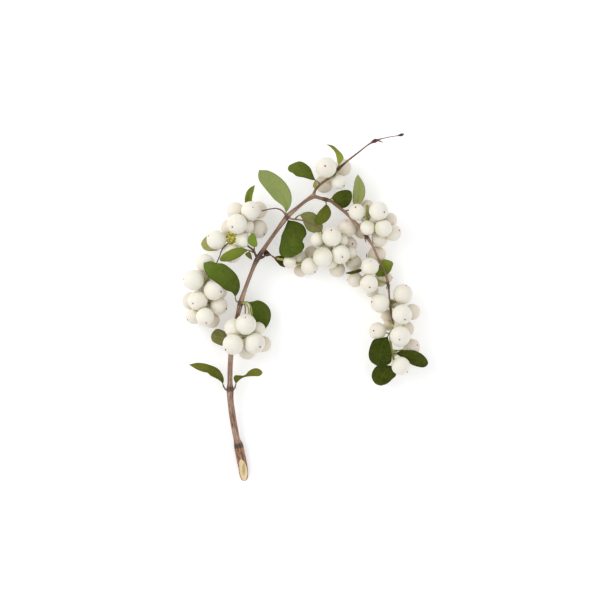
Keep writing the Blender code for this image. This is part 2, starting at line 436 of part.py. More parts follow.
def tube(name, samples, sides, grow=0.0):
    """A round-ended tube along samples (x, y, z, diameter), thicker all round by grow."""
    centres = [Vector(sample[:3]) for sample in samples]
    radii = [sample[3] / 2 + grow for sample in samples]
    first = (centres[1] - centres[0]).normalized()
    last = (centres[-1] - centres[-2]).normalized()
    centres = [centres[0] - first * grow] + centres + [centres[-1] + last * grow]
    radii = [radii[0] * 0.8] + radii + [radii[-1] * 0.8]
    centres[0] = centres[0] - first * radii[1] * 0.5
    centres[-1] = centres[-1] + last * radii[-2] * 0.5
    vertices = []
    side = Vector((0.0, 0.0, 1.0))
    for k, centre in enumerate(centres):
        ahead = (centres[min(k + 1, len(centres) - 1)] - centres[max(k - 1, 0)]).normalized()
        side = (side - ahead * side.dot(ahead)).normalized()
        across = ahead.cross(side)
        for j in range(sides):
            angle = math.tau * (j + 0.5) / sides
            vertices.append(centre + (side * math.cos(angle) + across * math.sin(angle)) * radii[k])
    faces = []
    for k in range(len(centres) - 1):
        for j in range(sides):
            near = k * sides + j
            far = k * sides + (j + 1) % sides
            faces.append((near, far, far + sides, near + sides))
    faces.append(tuple(reversed(range(sides))))
    faces.append(tuple(range(len(vertices) - sides, len(vertices))))
    return new_piece(name, vertices, faces)


def apply_modifiers(piece):
    """Keep the piece's evaluated mesh and drop its modifiers."""
    graph = bpy.context.evaluated_depsgraph_get()
    mesh = bpy.data.meshes.new_from_object(piece.evaluated_get(graph))
    piece.modifiers.clear()
    piece.data = mesh


def join(name, pieces):
    """One solid from overlapping pieces, by one Boolean union on a collection."""
    base = pieces[0]
    if len(pieces) > 1:
        group = bpy.data.collections.new(name + "_parts")
        for piece in pieces[1:]:
            group.objects.link(piece)
        union = base.modifiers.new("union", "BOOLEAN")
        union.operation = "UNION"
        union.operand_type = "COLLECTION"
        union.collection = group
        union.solver = "EXACT"
        apply_modifiers(base)
        for piece in pieces[1:]:
            bpy.data.objects.remove(piece, do_unlink=True)
        bpy.data.collections.remove(group)
    base.name = name
    base.data.name = name
    return base


def cut_away(piece, cutter):
    """Take the cutter's shape out of the piece."""
    difference = piece.modifiers.new("difference", "BOOLEAN")
    difference.operation = "DIFFERENCE"
    difference.object = cutter
    difference.solver = "EXACT"
    apply_modifiers(piece)


def slice_off(piece, place, normal):
    """Cut the piece by a plane, drop what the normal points to and close the flat."""
    work = bmesh.new()
    work.from_mesh(piece.data)
    bmesh.ops.bisect_plane(work, geom=work.verts[:] + work.edges[:] + work.faces[:], dist=1e-7,
                           plane_co=place * MM, plane_no=normal, clear_outer=True)
    rim = [edge for edge in work.edges if edge.is_boundary]
    if rim:
        bmesh.ops.holes_fill(work, edges=rim, sides=0)
    bmesh.ops.triangulate(work, faces=work.faces[:])
    bmesh.ops.recalc_face_normals(work, faces=work.faces[:])
    work.to_mesh(piece.data)
    work.free()


def rest_on_surface(piece):
    slice_off(piece, Vector((0.0, 0.0, 0.0)), Vector((0.0, 0.0, -1.0)))


def wood_runs():
    """Every run of wood as (samples, sides)."""
    runs = [(stem_samples(MAIN_STEM, STEM_STEP), MAIN_SIDES),
            (stem_samples(RIGHT_BRANCH, STEM_STEP), BRANCH_SIDES),
            (stem_samples(UPPER_TWIG, STEM_STEP), BRANCH_SIDES)]
    runs += [(stem_samples(stalk, STALK_STEP), STALK_SIDES) for stalk in SIDE_STALKS]
    return runs


def woody_stem(name, grow=0.0):
    """The whole wood in one solid, thicker all round by grow."""
    pieces = [tube(f"{name}_{k}", samples, sides, grow) for k, (samples, sides) in enumerate(wood_runs())]
    return join(name, pieces)


def cut_end(stem):
    """The slanted cut through the stem's foot, facing up."""
    along = CUT_TOP - CUT_FOOT
    slice_off(stem, CUT_FOOT, Vector((0.0, -along.z, along.y)).normalized())


def leaf_rows(leaf):
    """Cross rows (left, midrib, right, thickness) of a leaf from its stalk to its tip."""
    base = Vector(leaf.stalk[-1][:2])
    tip = Vector(leaf.tip)
    count = EDGE_POINTS
    left_edge = curve_through([base] + [Vector(point) for point in leaf.left] + [tip], count)
    right_edge = curve_through([base] + [Vector(point) for point in leaf.right] + [tip], count)
    low, middle, high = leaf.heights
    bend = 2 * middle - (low + high) / 2
    length = sum((end - start).length for start, end in zip(left_edge, left_edge[1:]))
    row_count = min(max(round(length / ROW_SPACING), FEWEST_ROWS), MOST_ROWS)
    rows = []
    stalk = [Vector(point) for point in leaf.stalk]
    opening = left_edge[BASE_STEP] - right_edge[BASE_STEP]
    for k, point in enumerate(stalk):
        ahead = (stalk[min(k + 1, len(stalk) - 1)] - stalk[max(k - 1, 0)])
        side = Vector((-ahead.y, ahead.x, 0.0)).normalized()
        if k == len(stalk) - 1:
            side = (side + opening.to_3d().normalized()).normalized()
        side *= STALK_WIDTH / 2
        rows.append((point + side, point, point - side, STALK_WIDTH))
    for row in range(1, row_count + 1):
        share = 0.5 - 0.5 * math.cos(math.pi * (BASE_SHARE + (1 - BASE_SHARE) * row / row_count))
        index = round(share * (count - 1))
        left = left_edge[index]
        right = right_edge[index]
        if row == row_count:
            spread = (left_edge[-2] - right_edge[-2]).normalized() * TIP_WIDTH / 2
            left = tip + spread
            right = tip - spread
        height = low * (1 - share) ** 2 + 2 * bend * share * (1 - share) + high * share ** 2
        swell = max(math.sin(math.pi * share), 0.0)
        rows.append((Vector((left.x, left.y, height + leaf.rise[0] * swell)),
                     Vector(((left.x + right.x) / 2, (left.y + right.y) / 2, height)),
                     Vector((right.x, right.y, height + leaf.rise[1] * swell)),
                     BLADE_THICKNESS))
    return rows


def leaf_piece(name, leaf, grow=0.0):
    """A leaf as one thin curved blade with its stalk, thicker and wider all round by grow."""
    rows = leaf_rows(leaf)
    vertices = []
    normal = Vector((0.0, 0.0, 1.0))
    for k, (left, rib, right, thickness) in enumerate(rows):
        ahead = rows[min(k + 1, len(rows) - 1)][1] - rows[max(k - 1, 0)][1]
        across = (right - left).cross(ahead)
        if across.length > 1e-6:
            across.normalize()
            normal = across if across.dot(normal) >= 0 else -across
        half = thickness / 2 + grow
        outward = (left - right).normalized() * grow
        beyond = Vector()
        if k == 0:
            beyond = ahead.normalized() * -grow
        if k == len(rows) - 1:
            beyond = ahead.normalized() * grow
        for point in (left + outward, rib, right - outward):
            vertices.append(point + beyond + normal * half)
        for point in (left + outward, rib, right - outward):
            vertices.append(point + beyond - normal * half)
    faces = []
    for k in range(len(rows) - 1):
        near = k * 6
        far = near + 6
        for j in (0, 1):
            faces.append((near + j, near + j + 1, far + j + 1))
            faces.append((near + j, far + j + 1, far + j))
            faces.append((near + 3 + j, far + 4 + j, near + 4 + j))
            faces.append((near + 3 + j, far + 3 + j, far + 4 + j))
        for top, bottom in ((0, 3), (2, 5)):
            faces.append((near + top, far + top, far + bottom))
            faces.append((near + top, far + bottom, near + bottom))
    for end in (0, (len(rows) - 1) * 6):
        faces.append((end, end + 1, end + 4, end + 3))
        faces.append((end + 1, end + 2, end + 5, end + 4))
    return new_piece(name, vertices, faces)


class Berry:
    """One berry: its bunch, its middle, its radius and, where it is seen, its calyx."""

    def __init__(self, bunch, place, radius, calyx=None):
        self.bunch = bunch
        self.place = Vector(place)
        self.radius = radius
        self.calyx = calyx


def obstacles():
    """Balls (middle, radius) along the wood and over the leaves, for berries to stay clear of."""
    balls = []
    for samples, _ in wood_runs():
        for start, end in zip(samples, samples[1:]):
            for share in (0.0, 0.25, 0.5, 0.75):
                point = start.lerp(end, share)
                balls.append((point.xyz, point.w / 2 + WOOD_SPACE))
    for leaf in LEAVES:
        rows = leaf_rows(leaf)[len(leaf.stalk):]
        for near, far in zip(rows, rows[1:]):
            for share in (0.0, 0.5):
                left = near[0].lerp(far[0], share)
                rib = near[1].lerp(far[1], share)
                right = near[2].lerp(far[2], share)
                for point in (left, left.lerp(rib, 0.5), rib, rib.lerp(right, 0.5), right):
                    balls.append((point, LEAF_SPACE))
    return balls


def push(berry, other_place, reach, share):
    """How far up or down a berry moves away from a ball, by a share of their overlap."""
    offset = berry.place - other_place
    overlap = reach - offset.length
    if overlap <= 0 or offset.length < 1e-6:
        return 0.0
    upright = offset.z / offset.length
    return math.copysign(max(abs(upright), LEAST_RISE), upright) * overlap * share


def settle(berries, balls):
    """Slide the berries until neighbours only press lightly into each other."""
    for _ in range(SETTLE_ROUNDS):
        moves = [0.0 for _ in berries]
        for i, first in enumerate(berries):
            for j in range(i):
                second = berries[j]
                reach = first.radius + second.radius
                reach += -PRESS if first.bunch == second.bunch else BUNCH_SPACE
                move = push(first, second.place, reach, BERRY_PUSH)
                moves[i] += move
                moves[j] -= move
            for place, radius in balls:
                if (place.xy - first.place.xy).length < NEARBY:
                    moves[i] += push(first, place, first.radius + radius, OTHER_PUSH)
        for berry, move in zip(berries, moves):
            height = max(berry.place.z + move, berry.radius - FLOOR_PRESS)
            berry.place.z = min(height, TALLEST - berry.radius)


def is_covered(place, radius, berries):
    """Whether a berry there is hidden from above by higher berries of the bunch."""
    for k in range(RIM_POINTS):
        angle = math.tau * k / RIM_POINTS
        rim = Vector((place.x + radius * math.cos(angle), place.y + radius * math.sin(angle)))
        if not any((rim - berry.place.xy).length < berry.radius - COVER_SLACK for berry in berries):
            return False
    return True


def underside_berries(key, bunch, berries, balls, draw):
    """Fill the bunch's underside with berries that cannot be seen from above."""
    own = [berry for berry in berries if berry.bunch == key]
    near = [ball for ball in balls
            if any((ball[0] - berry.place).length < HIDDEN_REACH for berry in own)]
    added = []
    for _ in range(HIDDEN_TRIES):
        if len(added) == bunch.hidden:
            break
        anchor = draw.choice(own)
        radius = draw.uniform(*HIDDEN_SIZE) / 2
        aside = draw.uniform(-HIDDEN_SPREAD, HIDDEN_SPREAD)
        along = draw.uniform(-HIDDEN_SPREAD, HIDDEN_SPREAD)
        place = anchor.place + Vector((aside, along, 0.0))
        place.z = radius - FLOOR_PRESS + draw.uniform(0.0, HIDDEN_DEPTH) * draw.random()
        others = berries + added
        if any((place - other.place).length < radius + other.radius
               + (-HIDDEN_PRESS if other.bunch == key else BUNCH_SPACE) for other in others):
            continue
        if any((place - middle).length < radius + reach for middle, reach in near):
            continue
        if is_covered(place, radius, own):
            added.append(Berry(key, place, radius))
    return added


def all_berries():
    """Every berry of the branch in its settled place."""
    berries = []
    for key, bunch in BUNCHES.items():
        for x, y, size, layer, calyx in bunch.berries:
            berries.append(Berry(key, (x, y, layer), size / 2, calyx))
    balls = obstacles()
    settle(berries, balls)
    draw = random.Random(HIDDEN_SEED)
    for key, bunch in BUNCHES.items():
        berries += underside_berries(key, bunch, berries, balls, draw)
    return berries


def nearest_on(routes, place):
    """The point of the rachis nearest to a place."""
    best = None
    for route in routes:
        for start, end in zip(route, route[1:]):
            start = Vector(start)
            run = Vector(end) - start
            share = min(max((place - start).dot(run) / run.length_squared, 0.0), 1.0)
            point = start + run * share
            if best is None or (place - point).length < (place - best).length:
                best = point
    return best


def distance_to(routes, berry):
    return (berry.place - nearest_on(routes, berry.place)).length


def is_held(berry, held, routes):
    """Whether the rachis or a berry that is already held reaches well into this one."""
    if distance_to(routes, berry) < berry.radius + RACHIS_THICK / 2 - HOLD:
        return True
    return any((berry.place - other.place).length < berry.radius + other.radius - HOLD for other in held)


def berry_axis(berry, foot):
    """Direction from a berry's foot to its calyx."""
    if berry.calyx:
        flat = Vector(berry.calyx) - berry.place.xy
        rise = math.sqrt(max(berry.radius ** 2 - flat.length_squared, 0.04))
        return Vector((flat.x, flat.y, rise)).normalized()
    away = berry.place - foot
    if away.length < 0.5:
        away = Vector((0.0, 0.0, 1.0))
    return away.normalized()


def berry_piece(name, berry, axis, turn):
    """A round berry whose highest point is the small calyx at the end of its axis."""
    work = bmesh.new()
    bmesh.ops.create_icosphere(work, subdivisions=2, radius=1.0)
    swing = Vector((0.0, 0.0, 1.0)).rotation_difference(axis).to_matrix() @ Matrix.Rotation(turn, 3, "Z")
    vertices = []
    for vertex in work.verts:
        size = CALYX_RISE if vertex.co.z > 0.99 else FACET_SWELL
        vertices.append(berry.place + swing @ vertex.co * (size * berry.radius))
    faces = [tuple(corner.index for corner in face.verts) for face in work.faces]
    work.free()
    return new_piece(name, vertices, faces)


def bunch_piece(key, berries):
    """The rachis, the pedicels and the berries of one bunch in one solid."""
    routes = BUNCHES[key].routes
    pieces = []
    for k, route in enumerate(routes):
        run = [(x, y, z, RACHIS_THICK) for x, y, z in route]
        pieces.append(tube(f"rachis_{key}_{k}", stem_samples(run, RACHIS_STEP), RACHIS_SIDES))
    held = []
    for k, berry in enumerate(sorted(berries, key=lambda one: distance_to(routes, one))):
        foot = nearest_on(routes, berry.place)
        pieces.append(berry_piece(f"berry_{key}_{k}", berry, berry_axis(berry, foot), k * TURN))
        if not is_held(berry, held, routes):
            ends = [(*foot, PEDICEL_THICK), (*foot.lerp(berry.place, 0.7), PEDICEL_THICK)]
            pieces.append(tube(f"pedicel_{key}_{k}", [Vector(end) for end in ends], PEDICEL_SIDES))
        held.append(berry)
    return join("berries_" + key, pieces)


def build():
    clear_scene()
    stem = woody_stem("woody_stem")
    cut_end(stem)
    rest_on_surface(stem)
    finish_piece(stem, "bark")

    stem_space = woody_stem("stem_space", GAP)
    leaf_spaces = []
    for number, leaf in enumerate(LEAVES, 1):
        blade = leaf_piece(f"leaf_{number:02d}", leaf)
        cut_away(blade, stem_space)
        finish_piece(blade, "leaf_underside" if number in UNDERSIDE_UP else "leaf_green")
        leaf_spaces.append(leaf_piece(f"space_{number:02d}", leaf, GAP))

    berries = all_berries()
    for key in BUNCHES:
        bunch = bunch_piece(key, [berry for berry in berries if berry.bunch == key])
        cut_away(bunch, stem_space)
        for space in leaf_spaces:
            if touches(bunch, space):
                cut_away(bunch, space)
        thin_out(bunch)
        rest_on_surface(bunch)
        finish_piece(bunch, "berry_skin")
    for space in leaf_spaces + [stem_space]:
        bpy.data.objects.remove(space, do_unlink=True)


def thin_out(piece):
    """Merge the smallest faces that the unions leave."""
    decimate = piece.modifiers.new("decimate", "DECIMATE")
    decimate.ratio = KEPT_FACES
    decimate.use_collapse_triangulate = True
    apply_modifiers(piece)


def touches(first, second):
    """Whether the boxes of two pieces overlap."""
    for axis in range(3):
        spans = []
        for piece in (first, second):
            values = [vertex.co[axis] for vertex in piece.data.vertices]
            spans.append((min(values), max(values)))
        if spans[0][1] < spans[1][0] or spans[1][1] < spans[0][0]:
            return False
    return True


build()
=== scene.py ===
"""The looks of a snowberry branch, laid on a pale surface and seen from straight above.

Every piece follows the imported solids: the same routes, leaf edges and berry places, drawn finer,
with bark, veins, calyx tips and stalks added. Lengths in the tables are in millimetres.
"""

import math
import random
from collections import namedtuple

import bmesh
import bpy
import numpy as np
from mathutils import Matrix, Vector


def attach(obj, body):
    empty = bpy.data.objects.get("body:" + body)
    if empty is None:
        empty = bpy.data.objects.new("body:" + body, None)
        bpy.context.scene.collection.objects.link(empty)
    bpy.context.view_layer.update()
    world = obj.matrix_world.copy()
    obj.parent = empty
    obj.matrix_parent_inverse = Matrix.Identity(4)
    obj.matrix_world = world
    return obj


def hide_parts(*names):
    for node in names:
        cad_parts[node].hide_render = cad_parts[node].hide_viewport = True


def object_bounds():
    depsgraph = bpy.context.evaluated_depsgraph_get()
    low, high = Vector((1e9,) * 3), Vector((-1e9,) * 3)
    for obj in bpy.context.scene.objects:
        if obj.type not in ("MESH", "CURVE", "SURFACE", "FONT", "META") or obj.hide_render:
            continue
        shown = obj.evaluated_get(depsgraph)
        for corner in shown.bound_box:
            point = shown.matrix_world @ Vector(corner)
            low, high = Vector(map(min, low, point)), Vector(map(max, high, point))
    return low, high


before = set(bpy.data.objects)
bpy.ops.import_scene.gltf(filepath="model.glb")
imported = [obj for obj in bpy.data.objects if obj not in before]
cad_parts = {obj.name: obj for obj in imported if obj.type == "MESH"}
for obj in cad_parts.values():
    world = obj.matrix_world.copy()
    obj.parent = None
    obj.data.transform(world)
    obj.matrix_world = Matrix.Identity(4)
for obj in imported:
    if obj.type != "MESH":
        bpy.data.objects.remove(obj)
CAD_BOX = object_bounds()

MM = 0.001

# Woody stem: route points as (x, y, z, diameter)
MAIN_STEM = [
    (-39.3, -113.0, 2.7, 5.9), (-40.0, -105.0, 2.8, 6.0), (-41.0, -100.0, 3.0, 6.3),
    (-42.0, -95.0, 3.3, 6.2), (-43.0, -90.0, 3.9, 6.0), (-44.1, -86.0, 4.4, 4.2),
    (-45.3, -80.0, 5.2, 4.3), (-47.0, -70.0, 6.6, 4.3), (-48.2, -60.0, 7.9, 4.1),
    (-48.4, -53.0, 8.9, 4.7), (-48.5, -49.0, 9.4, 3.4), (-48.4, -40.0, 10.6, 3.4),
    (-47.9, -31.0, 11.6, 3.4), (-47.0, -18.0, 12.6, 3.0), (-43.4, -5.0, 13.4, 2.9),
    (-41.6, 2.5, 14.0, 3.6), (-38.5, 12.0, 14.5, 2.6), (-33.6, 25.0, 15.0, 2.6),
    (-30.5, 31.5, 15.3, 3.4), (-25.0, 39.9, 15.6, 2.6), (-18.3, 49.4, 16.0, 2.5),
    (-11.5, 58.5, 16.3, 3.4), (-4.5, 64.8, 16.5, 2.4), (1.5, 69.6, 16.6, 2.5),
    (6.2, 72.4, 16.6, 3.8),
]
RIGHT_BRANCH = [
    (5.2, 72.4, 16.6, 2.8), (10.0, 70.9, 16.6, 2.2), (13.5, 70.0, 16.5, 2.8),
    (17.0, 69.0, 16.4, 2.1), (20.0, 66.8, 16.2, 2.1), (26.3, 61.7, 15.8, 2.0),
    (30.3, 57.8, 15.5, 2.0), (36.3, 51.7, 15.0, 1.7), (40.2, 46.1, 14.6, 2.5),
    (43.9, 40.6, 14.2, 1.6), (46.4, 35.1, 13.8, 1.5), (49.0, 29.5, 13.5, 1.4),
    (52.5, 22.0, 13.2, 1.3), (54.3, 15.0, 13.0, 2.0), (55.0, 8.0, 12.9, 1.1),
    (55.5, 0.0, 12.8, 1.1), (57.2, -9.0, 12.6, 1.1), (58.2, -11.5, 12.5, 1.1),
]
UPPER_TWIG = [
    (5.8, 72.6, 16.6, 2.4), (7.0, 76.0, 17.0, 1.7), (10.0, 79.5, 17.5, 1.7),
    (14.5, 83.0, 18.0, 1.7), (18.5, 86.8, 18.3, 1.7), (22.0, 90.0, 18.6, 2.4),
    (25.0, 92.5, 18.8, 1.5), (28.5, 95.5, 19.0, 1.3), (35.0, 100.5, 19.4, 1.0),
    (40.0, 104.5, 19.8, 0.9), (43.0, 106.5, 20.0, 1.2), (45.3, 107.8, 20.1, 2.5),
    (47.6, 108.5, 20.2, 1.5), (50.0, 109.3, 20.2, 0.7), (55.0, 110.4, 20.4, 0.6),
    (60.0, 111.2, 20.6, 0.6), (62.3, 111.7, 20.7, 1.8), (64.0, 112.2, 20.8, 1.3),
]
SIDE_STALKS = [
    # spurs of the lowest node
    [(-48.4, -53.0, 8.9, 2.0), (-51.0, -53.6, 9.2, 1.7), (-52.3, -52.0, 9.6, 1.4)],
    [(-48.4, -53.0, 8.9, 1.8), (-46.3, -53.8, 9.3, 1.5), (-45.2, -52.2, 9.7, 1.3)],
    # stalk that carries bunch C
    [(-41.6, 2.5, 14.0, 1.5), (-39.2, 2.0, 15.2, 1.2), (-38.4, -1.0, 15.6, 1.1), (-38.5, -4.5, 15.4, 1.1)],
    # side twig behind bunch A that hangs bunch B
    [(-30.5, 31.5, 15.3, 1.8), (-32.0, 34.5, 15.5, 1.6), (-33.2, 37.0, 15.4, 1.6), (-38.0, 40.5, 13.0, 1.4),
     (-44.0, 42.6, 11.8, 1.3), (-49.5, 41.6, 11.8, 1.3), (-53.3, 38.0, 12.4, 1.2), (-55.2, 33.0, 13.2, 1.1),
     (-57.0, 29.0, 13.6, 1.1)],
    # spur to the left berries of bunch F
    [(-30.5, 31.5, 15.3, 1.8), (-27.0, 32.4, 15.8, 1.5), (-24.8, 34.2, 16.0, 1.3), (-22.0, 33.8, 16.0, 1.1),
     (-20.0, 32.8, 15.8, 1.1), (-18.0, 31.8, 15.4, 1.1)],
    # bare stalk that ends over bunch A
    [(-11.5, 58.5, 16.3, 1.6), (-13.4, 61.6, 16.3, 1.3), (-15.5, 63.3, 16.7, 1.2), (-18.0, 64.1, 17.1, 1.1),
     (-21.0, 64.0, 17.6, 1.1), (-25.0, 63.2, 18.0, 1.1), (-27.5, 62.5, 18.2, 1.3)],
    # stalk that carries bunch F
    [(-11.5, 58.5, 16.3, 1.6), (-8.0, 57.3, 17.4, 1.3), (-4.0, 56.8, 18.2, 1.2), (0.0, 56.0, 18.7, 1.1),
     (5.0, 53.8, 19.2, 1.1), (9.0, 51.5, 19.2, 1.1), (11.2, 48.8, 18.4, 1.4)],
    # spur behind the first berry of bunch E
    [(25.5, 62.0, 15.8, 1.3), (27.8, 62.9, 15.2, 1.2), (30.5, 63.0, 12.6, 1.1), (33.2, 63.2, 11.4, 1.1)],
    # stalk that carries bunch E, with a stub on the other side
    [(40.0, 46.0, 14.6, 1.5), (40.6, 48.6, 14.2, 1.3)],
    [(40.0, 46.0, 14.6, 1.5), (39.4, 44.3, 14.5, 1.2), (39.9, 42.2, 14.4, 0.8)],
    # joint of the first berry right of bunch H's stem
    [(55.3, 3.2, 12.8, 1.1), (57.4, 2.6, 13.2, 1.3), (59.2, 4.0, 13.2, 1.0)],
    # small stub by the swollen bud
    [(47.0, 108.4, 20.2, 1.2), (50.6, 107.0, 20.2, 0.8)],
]
STEM_STEP = 8.0               # spacing of the rings that berries keep clear of
STALK_STEP = 6.0
CUT_TOP = Vector((0.0, -98.6, 6.2))        # the slanted cut starts here on the upper side
CUT_FOOT = Vector((0.0, -112.6, 0.3))      # and leaves the lower side here
FLOOR_PRESS = 0.35            # how much of a lowest berry is flattened by the surface

